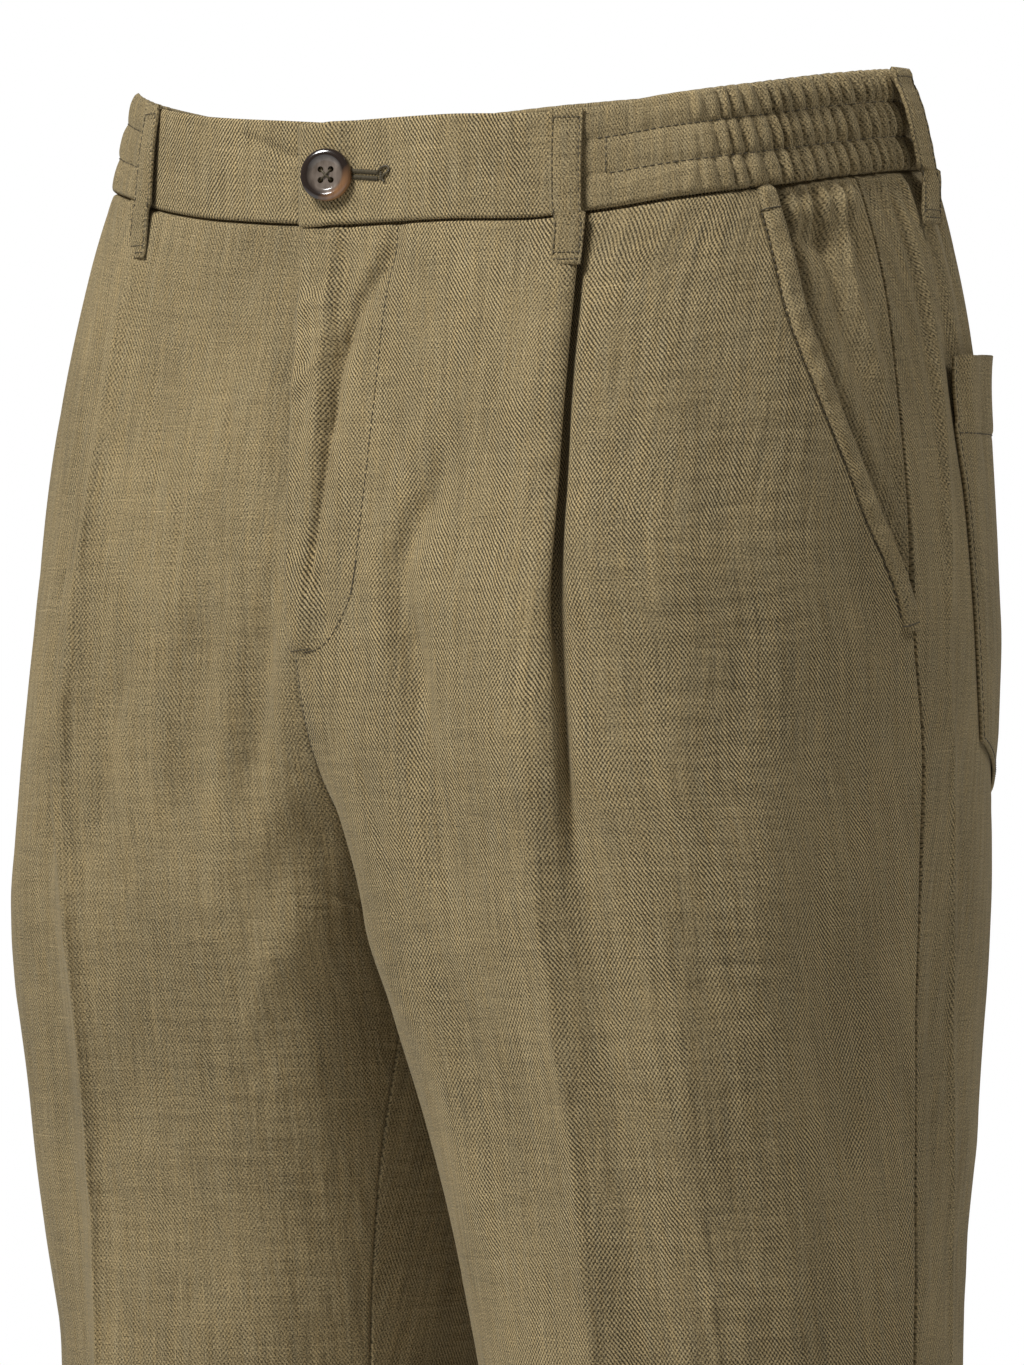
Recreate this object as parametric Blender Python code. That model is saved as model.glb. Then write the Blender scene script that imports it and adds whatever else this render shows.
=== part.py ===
"""Pleated linen trousers with a fly front and an elasticated waistband, in the hollow form they take when worn.

The front faces -Y, the wearer's left is +X and +Z is up. The origin is the middle of the waist, level with
the seam under the waistband. Sizes are in millimetres until the meshes are made, which are in metres.
Every cloth piece is a wall: a grid of points on its face side, and the same points moved in by its thickness.
A place on the cloth is (z, l): the height of its row and the length round half the outline from the front edge.
"""

import math

import bmesh
import bpy
import numpy as np

MM = 0.001

# ---- driving dimensions ---------------------------------------------------------------------------------
CLOTH = 1.2  # wall of one panel
SEAM_GAP = 0.3
HALF_GAP = SEAM_GAP / 2
CROTCH = -264.0
CROTCH_Y = -38.0  # the four panels meet a little in front of the middle
HEM = -1000.0
FRONT_FORK = -160.0  # where the rise seam leaves the belly and turns under
BACK_FORK = -160.0
FLY_BOTTOM = -160.0  # the lap ends here, and its lift fades out below
FLY_BLEND = 12.0  # the left front comes down off the lap over this length
POCKET_BOTTOM = -160.0
WELT_WIDTH = 8.3
BAND = 2.6  # wall of the folded and faced waistband
BAND_HEIGHT = 38.5
GATHER_PITCH = 7.0
GATHERS_FROM = 172.0  # along the waist from the centre front
LOOP_WIDTH = 11.8
LOOP_DROP = 19.0  # how far a belt loop runs below the waist seam
BUTTON_RADIUS = 9.0

# One row for each height: the leg's middle, the reach of the outline to the side, front and back of that middle,
# the depth of the centre front and centre back, where the inseam lies, and how square each quarter is.
SECTION_COLUMNS = (
    "z", "mid_x", "mid_y", "side", "front", "back", "belly", "seat", "inseam_x", "inseam_y",
    "inner_front_n", "outer_front_n", "outer_back_n", "inner_back_n",
)
SECTIONS = (
    (0, 20, 0, 155, 118, 118, 118, 117, 0, 0, 2.2, 2.9, 2.65, 2.2),
    (-30, 30, 0, 166, 122, 128, 122, 125, 0, 0, 2.2, 2.8, 2.4, 2.2),
    (-60, 44, 0, 174, 126, 137, 126, 132, 0, 0, 2.2, 2.72, 2.2, 2.2),
    (-90, 56, 0, 180, 130, 143, 129, 137, 0, 0, 2.2, 2.68, 2.03, 2.2),
    (-120, 68, 0, 184.5, 134, 146, 133, 140, 0, 0, 2.2, 2.55, 1.86, 2.2),
    (-155, 82, 0, 188, 138, 147, 137, 141, 0, 0, 2.2, 2.32, 1.70, 2.2),
    (-185, 88, -1, 189.5, 138, 144, 137, 139, 0, 0, 2.6, 2.28, 1.66, 2.2),
    (-215, 92, -3, 190, 135, 136, 135, 134, 0, -38, 3.6, 2.42, 1.73, 2.3),
    (-240, 95, -4, 190.5, 131, 127, 131, 127, 0, -38, 4.5, 2.62, 1.85, 2.3),
    (-264, 97, -5, 191, 127, 119, 127, 119, 0, -38, 4.5, 2.78, 1.95, 2.3),
    (-300, 98, -7, 191, 118, 111, 0, 0, 4, -64, 3.7, 2.85, 2.05, 2.2),
    (-345, 100, -8, 191, 109, 104, 0, 0, 8, -66, 2.85, 2.7, 2.05, 2.1),
    (-395, 103, -9, 191, 102, 98, 0, 0, 13, -63, 2.35, 2.4, 1.95, 2.05),
    (-440, 105, -10, 191, 97, 94, 0, 0, 17, -58, 2.05, 2.05, 1.98, 2.0),
    (-640, 116, -4, 191, 79, 79, 0, 0, 41, -43, 2.0, 1.9, 2.0, 2.0),
    (-1000, 131, 2, 194, 64, 64, 0, 0, 68, -25, 2.0, 1.9, 2.0, 2.0),
)

# Height of the waist seam above its mean, by the angle round the waist from the front, on each side.
WAISTLINE_COLUMNS = ("angle", "left", "right")
WAISTLINE = (
    (0, -8.3, -8.3),
    (25, -7.8, -4),
    (38, -9, 0.5),
    (48, -7, 6.5),
    (58, -3, 10.5),
    (75, 3, 11),
    (90, 8, 8.5),
    (106, 12, 7.5),
    (130, 16, 11),
    (155, 17, 15),
    (180, 16, 16),
)

# The front crease and the pleat's groove beside it, the back crease, the side seam against the widest point,
# the pocket mouth's lean forward of the side seam, and the fly's lap over the right front.
LINE_COLUMNS = ("z", "front_x", "ridge", "groove_at", "groove", "back_x", "back_ridge", "seam_back", "lean", "lap")
LINES = (
    (0, 102, 2.0, 6, -1.5, 86, 0.0, 3, 49.5, 10.5),
    (-38, 104, 3.0, 8, -3.5, 90, 0.3, 2, 50.0, 9.5),
    (-76, 106, 3.5, 9, -5.0, 92, 0.6, -2, 38.5, 8.5),
    (-112, 108, 3.5, 11, -5.0, 95, 0.9, -4, 22.5, 6.6),
    (-160, 109, 3.2, 13, -4.5, 98, 1.5, -7, 0, 2.0),
    (-215, 111, 3.0, 15, -2.2, 102, 2.5, -1, 0, 0),
    (-264, 113, 3.0, 16, -0.8, 104, 3.0, -3, 0, 0),
    (-440, 119, 4.0, 16, 0, 112, 4.0, -1, 0, 0),
    (-640, 125, 4.0, 16, 0, 120, 4.0, 0, 0, 0),
    (-1000, 131, 3.0, 16, 0, 131, 3.0, 0, 0, 0),
)

# Soft folds: the panel, the two ends as (length from its front edge or side seam, height), half width and depth.
FOLD_COLUMNS = ("panel", "from_l", "from_z", "to_l", "to_z", "width", "depth")
FOLDS = (
    ("front_left", 30, -14, 17, -145, 6, -2.6),
    ("front_left", 88, -70, 44, -190, 13, -3.0),
    ("front_left", 46, -190, 40, -262, 14, -2.0),
    ("front_left", 72, -160, 66, -300, 12, 1.6),
    ("front_left", 150, -230, 150, -420, 14, 1.8),
    ("front_right", 30, -130, 24, -235, 12, -2.8),
    ("front_right", 56, -60, 52, -230, 12, 1.6),
    ("front_right", 66, -330, 40, -420, 14, -2.0),
    ("back_left", 20, -60, 24, -150, 7, 1.8),
    ("back_left", 190, -240, 150, -420, 14, -3.0),
    ("back_left", 170, -235, 90, -300, 14, -2.6),
    ("back_left", 150, -560, 90, -620, 16, -2.6),
    ("back_right", 192, -236, 146, -410, 14, -3.0),
    ("back_right", 160, -240, 96, -310, 15, -2.3),
    ("back_right", 140, -575, 84, -625, 16, -2.8),
)

ROWS = (
    0, -11, -24, -38, -50, -64, -78, -94, -112, -130, -147, -160, -173, -187, -201, -214, -226, -237,
    -246, -253, -259, -264, -271, -283, -300, -325, -355, -395, -440, -500, -570, -640, -730, -830, -920, -970, HEM,
)

# Patch pocket on each back panel, measured from its side seam.
PATCH_WIDTH = 130.0
PATCH_ROWS = (-64, -78, -94, -112, -130, -147, -160, -173, -187, -201)
PATCH_POINT = -222.0
PATCH_COLUMNS = 8

# Belt loops: the side they're on and the length round the waist of their middle.
LOOPS = (
    ("belt_loop_front_left", 1, 108.0),
    ("belt_loop_front_right", -1, 94.0),
    ("belt_loop_side_left", 1, 272.0),
    ("belt_loop_side_right", -1, 262.0),
    ("belt_loop_back", 1, None),
)

LINEN = (0.19, 0.165, 0.10)
HORN = (0.06, 0.035, 0.02)


# ---- tables and curves ----------------------------------------------------------------------------------
def read(table, columns, name, at):
    """The named column of a table at a value of its first column, on a smooth curve through its rows."""
    rows = sorted(table)
    xs = [row[0] for row in rows]
    ys = [row[columns.index(name)] for row in rows]
    at = min(max(at, xs[0]), xs[-1])
    i = max(j for j in range(len(xs) - 1) if xs[j] <= at)

    def slope(j):
        if j == 0 or j == len(xs) - 1:
            k = min(j, len(xs) - 2)
            return (ys[k + 1] - ys[k]) / (xs[k + 1] - xs[k])
        before = (ys[j] - ys[j - 1]) / (xs[j] - xs[j - 1])
        after = (ys[j + 1] - ys[j]) / (xs[j + 1] - xs[j])
        return 0.0 if before * after <= 0 else 2 * before * after / (before + after)

    span = xs[i + 1] - xs[i]
    t = (at - xs[i]) / span
    return (
        ys[i] * (1 + 2 * t) * (1 - t) ** 2
        + slope(i) * span * t * (1 - t) ** 2
        + ys[i + 1] * t * t * (3 - 2 * t)
        - slope(i + 1) * span * t * t * (1 - t)
    )


def ease(t):
    t = min(max(t, 0.0), 1.0)
    return t * t * (3 - 2 * t)


def arc(middle, reach, n, start, end, turns=30):
    """Points of a superellipse quarter, between two shares of the turn from its front or back point to its side."""
    angles = np.linspace(start, end, turns) * math.pi / 2
    across = middle[0] + reach[0] * np.sin(angles).clip(0) ** (2 / n)
    along = middle[1] + reach[1] * np.cos(angles).clip(0) ** (2 / n)
    return np.column_stack([across, along])


def share_at(height, n):
    """Share of the quarter turn at which a superellipse quarter is this high over its middle."""
    height = min(max(height, 0.0), 1.0)
    return math.acos(height ** (n / 2)) / (math.pi / 2)


class Outline:
    """Half of the outline at one height, from the inner front edge round the side to the inner back edge."""

    def __init__(self, z):
        def get(name):
            return read(SECTIONS, SECTION_COLUMNS, name, z)

        middle = np.array([get("mid_x"), get("mid_y")])
        front, back = get("front"), get("back")
        front_n, back_n = get("inner_front_n"), get("inner_back_n")
        side = get("side") - middle[0]
        if z > CROTCH:
            bend = (FRONT_FORK - z) / (FRONT_FORK - CROTCH)
            front_fork = math.sqrt(max(0.0, 1 - max(bend, 0.0) ** 1.8))
            bend = (BACK_FORK - z) / (BACK_FORK - CROTCH)
            back_fork = math.sqrt(max(0.0, 1 - max(bend, 0.0) ** 2))
            front_y = CROTCH_Y + (middle[1] - get("belly") - CROTCH_Y) * front_fork
            back_y = CROTCH_Y + (middle[1] + get("seat") - CROTCH_Y) * back_fork
            inner_front = self.opened(middle, -front, front_n, front_y)
            if back_y > middle[1]:
                inner_back = self.opened(middle, back, back_n, back_y)[::-1]
            else:
                round_back = arc(middle, (-middle[0], back), back_n, 0, 1)
                inner_back = np.vstack([round_back, [(0.0, back_y)]])
        else:
            reach = get("inseam_x") - middle[0]
            front_y = get("inseam_y")
            split = share_at((middle[1] - front_y) / front, front_n)
            inner_front = arc(middle, (reach, -front), front_n, split, 0)
            round_back = arc(middle, (reach, back), back_n, 0, 1)
            rest = arc(middle, (reach, -front), front_n, 1, split, 12)
            inner_back = np.vstack([round_back, rest[1:]])
        outer_front = arc(middle, (side, -front), get("outer_front_n"), 0, 1)
        outer_back = arc(middle, (side, back), get("outer_back_n"), 1, 0)
        self.points = np.vstack([inner_front[:-1], outer_front[:-1], outer_back[:-1], inner_back])
        steps = np.linalg.norm(np.diff(self.points, axis=0), axis=1)
        self.along = np.concatenate([[0], np.cumsum(steps)])
        self.length = float(self.along[-1])
        self.side = float(self.along[len(inner_front) + len(outer_front) - 2])

    @staticmethod
    def opened(middle, reach_y, n, edge_y):
        """The inner quarter above the crotch, from the centre line at edge_y to the front or back point."""
        height = min(abs((edge_y - middle[1]) / reach_y), 0.999)
        reach_x = middle[0] / (1 - height**n) ** (1 / n)
        return arc(middle, (-reach_x, reach_y), n, share_at(height, n), 0)

    def at(self, l):
        """Point and outward direction at a length along the outline. Under 0 it runs on over the other half."""
        reach = min(abs(l), self.length)
        point = np.array([np.interp(reach, self.along, self.points[:, k]) for k in (0, 1)])
        ends = (max(reach - 2.5, 0), min(reach + 2.5, self.length))
        tangent = [np.interp(ends[1], self.along, self.points[:, k]) for k in (0, 1)]
        tangent = np.subtract(tangent, [np.interp(ends[0], self.along, self.points[:, k]) for k in (0, 1)])
        tangent /= np.linalg.norm(tangent)
        normal = np.array([tangent[1], -tangent[0]])
        point[0] += HALF_GAP
        if l < 0:
            return np.array([2 * HALF_GAP - point[0], point[1]]), normal * (-1, 1)
        return point, normal

    def length_at(self, x, behind=False):
        """Length along the outline of the point with this x, in front of the side or behind it."""
        part = self.along >= self.side if behind else self.along <= self.side
        xs, lengths = self.points[part][:, 0], self.along[part]
        return float(np.interp(x, xs[::-1], lengths[::-1]) if behind else np.interp(x, xs, lengths))


OUTLINES = {}


def outline(z):
    if z not in OUTLINES:
        OUTLINES[z] = Outline(z)
    return OUTLINES[z]


# ---- lines on the outline -----------------------------------------------------------------------------------
def line(name, z):
    return read(LINES, LINE_COLUMNS, name, z)


def seam_drop(point, side):
    """Height of the waist seam over its mean at this place round the waist."""
    angle = math.degrees(math.atan2(abs(point[0]), -point[1]))
    return read(WAISTLINE, WAISTLINE_COLUMNS, "left" if side > 0 else "right", angle)


def side_seam(z):
    return outline(z).side + line("seam_back", z)


def pocket_mouth(z):
    return side_seam(z) - line("lean", z)


def front_crease(z):
    return outline(z).length_at(line("front_x", z))


def back_crease(z):
    return outline(z).length_at(line("back_x", z), behind=True)


def on_body(z, l, lift, side, rise=0.0):
    """The point at this place, lifted off the outline and raised, on the left half (1) or the right half (-1)."""
    point, out = outline(z).at(l)
    placed = point + out * lift
    if l >= 0:
        placed[0] = max(placed[0], HALF_GAP)
    drop = seam_drop(point, side if point[0] > 0 else -side) * (1 - ease(-z / 130))
    return (side * placed[0], placed[1], z + drop + rise)


# ---- relief: what lifts the cloth off the plain outline -----------------------------------------------------
def soft_folds(panel, l, z):
    """Sum of the soft folds here. Each is a trough or ridge along a straight line that fades at its ends."""
    total = 0.0
    for name, l0, z0, l1, z1, width, depth in FOLDS:
        if name != panel:
            continue
        run = (l1 - l0, z1 - z0)
        size = run[0] ** 2 + run[1] ** 2
        t = ((l - l0) * run[0] + (z - z0) * run[1]) / size
        off = abs((l - l0) * run[1] - (z - z0) * run[0]) / math.sqrt(size)
        if -0.25 < t < 1.25 and off < 3 * width:
            fade = ease((t + 0.25) / 0.5) * ease((1.25 - t) / 0.5)
            total += depth * fade * math.exp(-((off / width) ** 2))
    return total


def front_relief(side, l, z):
    """The crease with the pleat's groove on its outer side, the soft folds, and the lap of the fly."""
    left = side > 0
    over = left != (l < 0)
    panel = "front_left" if over else "front_right"
    past = abs(l) - front_crease(z)
    lift = line("ridge", z) * math.exp(-abs(past) / (18 if past < 0 else 8))
    lift += line("groove", z) * math.exp(-(((past - line("groove_at", z)) / 6) ** 2))
    lift += soft_folds(panel, abs(l), z) * ease((abs(l) - 2) / 18)
    if left:
        lift += (CLOTH + 0.5) * ease((z - FLY_BOTTOM + 12) / 10) * ease((FLY_BLEND - l) / (FLY_BLEND - 1.5))
    return lift


def back_relief(side, l, z):
    """The back crease and the soft folds. l runs from the side seam."""
    past = l + side_seam(z) - back_crease(z)
    lift = line("back_ridge", z) * math.exp(-abs(past) / 14)
    return lift + soft_folds("back_left" if side > 0 else "back_right", l, z)


# ---- mesh making --------------------------------------------------------------------------------------------
def material(name, colour, roughness):
    made = bpy.data.materials.get(name) or bpy.data.materials.new(name)
    made.use_nodes = True
    shader = made.node_tree.nodes["Principled BSDF"]
    shader.inputs["Base Color"].default_value = (*colour, 1)
    shader.inputs["Roughness"].default_value = roughness
    shader.inputs["Metallic"].default_value = 0
    made.diffuse_color = (*colour, 1)
    return made


def add_object(name, points, faces, finish):
    mesh = bpy.data.meshes.new(name)
    mesh.from_pydata([tuple(float(c) * MM for c in p) for p in points], [], faces)
    mesh.validate()
    made = bpy.data.objects.new(name, mesh)
    bpy.context.scene.collection.objects.link(made)
    mesh.materials.append(finish)
    work = bmesh.new()
    work.from_mesh(mesh)
    bmesh.ops.recalc_face_normals(work, faces=work.faces)
    if work.calc_volume(signed=True) < 0:
        bmesh.ops.reverse_faces(work, faces=work.faces)
    work.to_mesh(mesh)
    work.free()
    mesh.shade_smooth()
    mesh.set_sharp_from_angle(angle=math.radians(40))
    return made


def outward(grid, side):
    """Face-side normals of a grid whose rows go down and whose columns go round from the front to the side."""
    normals = np.cross(np.gradient(grid, axis=0), np.gradient(grid, axis=1)) * side
    return normals / np.linalg.norm(normals, axis=2, keepdims=True).clip(1e-9)


def inside(grid, side):
    """The back grid of a panel: its face moved in by the cloth, kept on its own side of the centre line."""
    inner = grid - CLOTH * outward(grid, side)
    nearest = np.minimum(grid[..., 0] * side, HALF_GAP)
    inner[..., 0] = side * np.maximum(inner[..., 0] * side, nearest)
    return inner


def wall(name, grid, inner, finish):
    """A closed cloth wall between its face-side grid and its back grid, which may have fewer rows."""
    grid, inner = np.asarray(grid, float), np.asarray(inner, float)
    rows, columns = grid.shape[:2]
    back_rows = inner.shape[0]
    points = [*grid.reshape(-1, 3), *inner.reshape(-1, 3)]

    def face(i, j):
        return i * columns + j

    def back(i, j):
        return rows * columns + i * columns + j

    faces = []
    for j in range(columns - 1):
        for i in range(rows - 1):
            faces.append((face(i, j), face(i + 1, j), face(i + 1, j + 1), face(i, j + 1)))
        for i in range(back_rows - 1):
            faces.append((back(i, j), back(i, j + 1), back(i + 1, j + 1), back(i + 1, j)))
        faces.append((face(0, j), face(0, j + 1), back(0, j + 1), back(0, j)))
        last, back_last = rows - 1, back_rows - 1
        faces.append((face(last, j), back(back_last, j), back(back_last, j + 1), face(last, j + 1)))
    for j in (0, columns - 1):
        if back_rows == rows:
            faces += [(face(i, j), face(i + 1, j), back(i + 1, j), back(i, j)) for i in range(rows - 1)]
        else:
            faces.append((*(face(i, j) for i in range(rows)), *(back(i, j) for i in reversed(range(back_rows)))))
    return add_object(name, points, faces, finish)


# ---- leg panels -----------------------------------------------------------------------------------------------
INNER_X = 45.0  # columns keep to this line above the crotch, and only those inside it spread with the rise seam


def inner_line(z, behind):
    """Length of the line at INNER_X above the crotch, and the same share of the panel below it."""
    if z >= CROTCH:
        return outline(z).length_at(INNER_X, behind)
    top = outline(CROTCH)
    if behind:
        share = (top.length_at(INNER_X, True) - side_seam(CROTCH)) / (top.length - side_seam(CROTCH))
        return side_seam(z) + share * (outline(z).length - side_seam(z))
    return front_crease(z) * top.length_at(INNER_X) / front_crease(CROTCH)


def spread(start, end, shares):
    return [start + (end - start) * share for share in shares]


def front_columns(z, side):
    """Places of a front panel's columns: fly or inseam, over the belly, round the crease and pleat, outer edge."""
    above = z > FLY_BOTTOM
    start = -line("lap", z) if side > 0 and above else HALF_GAP if z > CROTCH else SEAM_GAP
    outer = (pocket_mouth(z) if z > POCKET_BOTTOM else side_seam(z)) - HALF_GAP
    crease, inner = front_crease(z), inner_line(z, False)
    columns = [start, max(start + 2, 1.5), FLY_BLEND]
    columns += spread(FLY_BLEND, inner, (0.3, 0.65, 1.0))
    columns += spread(inner, crease - 8, (0.5, 1.0))
    columns += [crease + step for step in (0, 6, 12, 19, 28)]
    columns += spread(columns[-1], outer - WELT_WIDTH, (0.5, 1.0))
    return columns + [outer]


def front_grid(side, lift=0.0, rows=ROWS):
    grid = []
    for z in rows:
        grid.append([on_body(z, l, front_relief(side, l, z) + lift, side) for l in front_columns(z, side)])
    return np.array(grid)


def back_columns(z):
    """Places of a back panel's columns, from the side seam: to the patch pocket, under it, and on to the centre."""
    level = max(z, PATCH_ROWS[-1])
    inner = inner_line(z, True) - side_seam(z)
    full = inner_line(level, True) - side_seam(level)
    edge = 40 + (PATCH_ROWS[0] - min(level, PATCH_ROWS[0])) * 0.11
    columns = [edge * share for share in (0.35, 0.7)]
    columns += [edge + PATCH_WIDTH * j / PATCH_COLUMNS for j in range(PATCH_COLUMNS + 1)]
    columns += spread(columns[-1], full, (0.5, 1.0))
    end = outline(z).length - side_seam(z) - (0 if z > CROTCH else SEAM_GAP)
    columns = [c * inner / full for c in columns]
    return [HALF_GAP, *columns, *spread(columns[-1], end, (0.16, 0.33, 0.5, 0.67, 0.84, 1.0))]


def back_grid(side, rows=ROWS):
    grid = []
    for z in rows:
        places = back_columns(z)
        gathered = ease((z + 62) / 55)
        row = []
        for j, l in enumerate(places):
            wave = gathered * 0.08 * (l - places[j - 1] if j else 10) * (-1) ** j
            row.append(on_body(z, l + side_seam(z), back_relief(side, l, z) + wave, side))
        grid.append(row)
    return np.array(grid)


def leg_panels(word, side, linen):
    for name, grid in ((f"front_{word}", front_grid(side)), (f"back_{word}", back_grid(side))):
        wall(name, grid, inside(grid, side), linen)


# ---- pockets --------------------------------------------------------------------------------------------------
def pocket_facing(word, side, linen):
    """The cloth behind the slanted mouth: tucked under the front panel, and level with the back at the side seam."""
    grid = []
    for z in (row for row in ROWS if row > POCKET_BOTTOM - 1):
        mouth, seam = pocket_mouth(z), side_seam(z) - HALF_GAP
        tucked = mouth - 3
        places = [mouth - 11] + [tucked + (seam - tucked) * share for share in (0, 0.35, 0.65, 1)]
        row = []
        for l in places:
            up = ease((l - mouth) / 26) * 1.6
            row.append(on_body(z, l, up - CLOTH - 0.6, side))
        grid.append(row)
    grid = np.array(grid)
    wall(f"pocket_facing_{word}", grid, inside(grid, side), linen)


def pocket_welt(word, side, linen):
    """The turned and stitched strip along the mouth, lying on the front panel's own outer column."""
    rows = [z for z in ROWS if z > POCKET_BOTTOM - 1]
    panel = front_grid(side, rows=rows)
    out = outward(panel, side)[:, -2:]
    out[0, :, 2] = 0
    strip = panel[:, -2:].copy()
    strip[0, :, 2] -= SEAM_GAP
    wall(f"pocket_welt_{word}", strip + 1.3 * out, strip + 0.3 * out, linen)


def patch_pocket(word, side, linen):
    """The patch on the back panel's own points, with a pointed foot and a turned hem that gapes a little."""
    panel = back_grid(side)
    out = outward(panel, side)
    columns = slice(3, 4 + PATCH_COLUMNS)
    picked = [ROWS.index(z) for z in PATCH_ROWS]
    base, lift = panel[picked][:, columns], out[picked][:, columns]
    below = picked[-1]
    foot, foot_out = [], []
    for j in range(base.shape[1]):
        drop = (PATCH_ROWS[-1] - PATCH_POINT) * (1 - abs(2 * j / PATCH_COLUMNS - 1)) + 1
        here, row = 0.0, below
        while drop - here > ROWS[row] - ROWS[row + 1]:
            here += ROWS[row] - ROWS[row + 1]
            row += 1
        t = (drop - here) / (ROWS[row] - ROWS[row + 1])
        column = 3 + j
        foot.append(panel[row, column] * (1 - t) + panel[row + 1, column] * t)
        foot_out.append(out[row, column])
    base = np.concatenate([base, [foot]])
    lift = np.concatenate([lift, [foot_out]])
    gape = np.array([2.2, 0.8, 0.2] + [0.0] * (len(base) - 3))[:, None, None]
    hem = np.array([0.8, 0.8, 0.6] + [0.0] * (len(base) - 3))[:, None, None]
    across = np.sin(np.linspace(0, math.pi, base.shape[1]))[None, :, None]
    inner = base + (0.6 + gape * (0.35 + 0.65 * across)) * lift
    wall(f"back_pocket_{word}", inner + (CLOTH + hem) * lift, inner, linen)


# ---- waistband ------------------------------------------------------------------------------------------------
def band_lean(l, height):
    """The band leans in towards its top: hardly at the front, and most over the sides."""
    return -9.0 * ease((abs(l) - 60) / 80) * height / BAND_HEIGHT


def front_band(word, side, linen):
    """The flat front of the waistband. The left one runs past the centre front, over the right one."""
    end = [spot for name, loop_side, spot in LOOPS if loop_side == side][0]
    start = -line("lap", 0) if side > 0 else HALF_GAP
    places = [start, 1.5, FLY_BLEND, 28, 43, 58, 73, end - 17, end - HALF_GAP]
    heights = (BAND_HEIGHT, BAND_HEIGHT - 2, BAND_HEIGHT / 2, SEAM_GAP)
    face, back = [], []
    for height in heights:
        rows = ([], [])
        for l in places:
            lift = 0.8 + band_lean(l, height)
            if side > 0:
                lift += (BAND + 0.5) * ease((FLY_BLEND + 2 - l) / FLY_BLEND)
            rows[0].append(on_body(0, l, lift, side, height))
            rows[1].append(on_body(0, l, lift - BAND, side, height))
        face.append(rows[0])
        back.append(rows[1])
    wall(f"waistband_front_{word}", face, back, linen)


def elastic_band(word, side, linen):
    """The gathered sides and back of the waistband: three puffed tiers between two rows of stitching."""
    start = [spot for name, loop_side, spot in LOOPS if loop_side == side][0] + HALF_GAP
    end = outline(0).length
    waves = int((end - GATHERS_FROM) / GATHER_PITCH)
    step = (end - GATHERS_FROM) / (2 * waves)
    plain = [start + (GATHERS_FROM - start) * j / 4 for j in range(4)]
    places = plain + [GATHERS_FROM + step * j for j in range(2 * waves + 1)]
    tiers = (
        (BAND_HEIGHT, -0.7, 0.5),
        (BAND_HEIGHT - 6, 0.6, 1.0),
        (BAND_HEIGHT - 12, -0.7, 0.35),
        (BAND_HEIGHT - 19, 0.6, 1.0),
        (BAND_HEIGHT - 26, -0.7, 0.35),
        (BAND_HEIGHT - 32, 0.6, 0.9),
        (SEAM_GAP, -0.3, 0.6),
    )
    face = []
    for height, puff, swell in tiers:
        row = []
        for j, l in enumerate(places):
            grow = ease((l - GATHERS_FROM + 6) / 40)
            wave = swell * grow * (-1) ** j * (0.75 + 0.25 * math.sin(j * 1.7 + height))
            lift = 0.8 + puff * (0.4 + 0.6 * grow) + band_lean(l, height) + wave
            row.append(on_body(0, l, lift, side, height))
        face.append(row)
    back = []
    for height in (BAND_HEIGHT, SEAM_GAP):
        back.append([on_body(0, l, 0.8 - BAND + band_lean(l, height), side, height) for l in places])
    wall(f"waistband_elastic_{word}", face, back, linen)


# ---- belt loops -----------------------------------------------------------------------------------------------
LOOP_THICK = 1.8
# Heights over the waist seam, and how far the strip's back stands off the band or the panel there.
LOOP_COLUMNS = ("height", "off")
LOOP_PROFILE = (
    (BAND_HEIGHT - 0.4, 0.4),
    (BAND_HEIGHT - 4, 0.7),
    (BAND_HEIGHT - 9, 2.5),
    (BAND_HEIGHT - 18, 3.8),
    (BAND_HEIGHT - 28, 3.9),
    (2, 3.4),
    (-6, 2.2),
    (-12, 0.8),
    (-LOOP_DROP, 0.5),
)


def panel_lift(side, l, z):
    """Lift of the panel under the foot of a belt loop."""
    if l < side_seam(z):
        return max(front_relief(side, l + step, z) for step in (-6, 0, 6))
    return 1.2


def belt_loop(name, side, l, linen):
    """A stitched strip from the top of the band to below the seam, standing clear of the band between."""
    centre_back = l is None
    middle = outline(0).length if centre_back else l
    point, out = outline(0).at(middle)
    if centre_back:
        point, out = np.array([0.0, point[1]]), np.array([0.0, 1.0])
    across = np.array([-out[1], out[0]])
    drop = seam_drop(point, side)
    swell = 1.5 if middle > GATHERS_FROM else 0.0
    face, back = [], []
    for height, off in LOOP_PROFILE:
        leans = [0.0, 0.0, 0.0]
        if height > 0:
            base, z = point + out * (0.8 + swell), drop + height
            leans = [band_lean(middle + share * LOOP_WIDTH, height) for share in (-0.5, 0, 0.5)]
        else:
            low, low_out = outline(height).at(outline(height).length if centre_back else middle * 1.015)
            if centre_back:
                low, low_out = np.array([0.0, low[1]]), out
            base = low + low_out * panel_lift(side, middle, height)
            z = drop * (1 - ease(-height / 130)) + height
        rows = ([], [])
        for share, lean in zip((-0.5, 0, 0.5), leans):
            spot = base + across * share * LOOP_WIDTH + out * lean
            for row, extra in ((rows[0], off + LOOP_THICK), (rows[1], off)):
                placed = spot + out * extra
                row.append((side * placed[0], placed[1], z))
        face.append(rows[0])
        back.append(rows[1])
    wall(name, face, back, linen)


# ---- button ---------------------------------------------------------------------------------------------------
# From the face of the lapped band to the middle of the button's thickness.
BUTTON_STAND = 0.65


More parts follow.
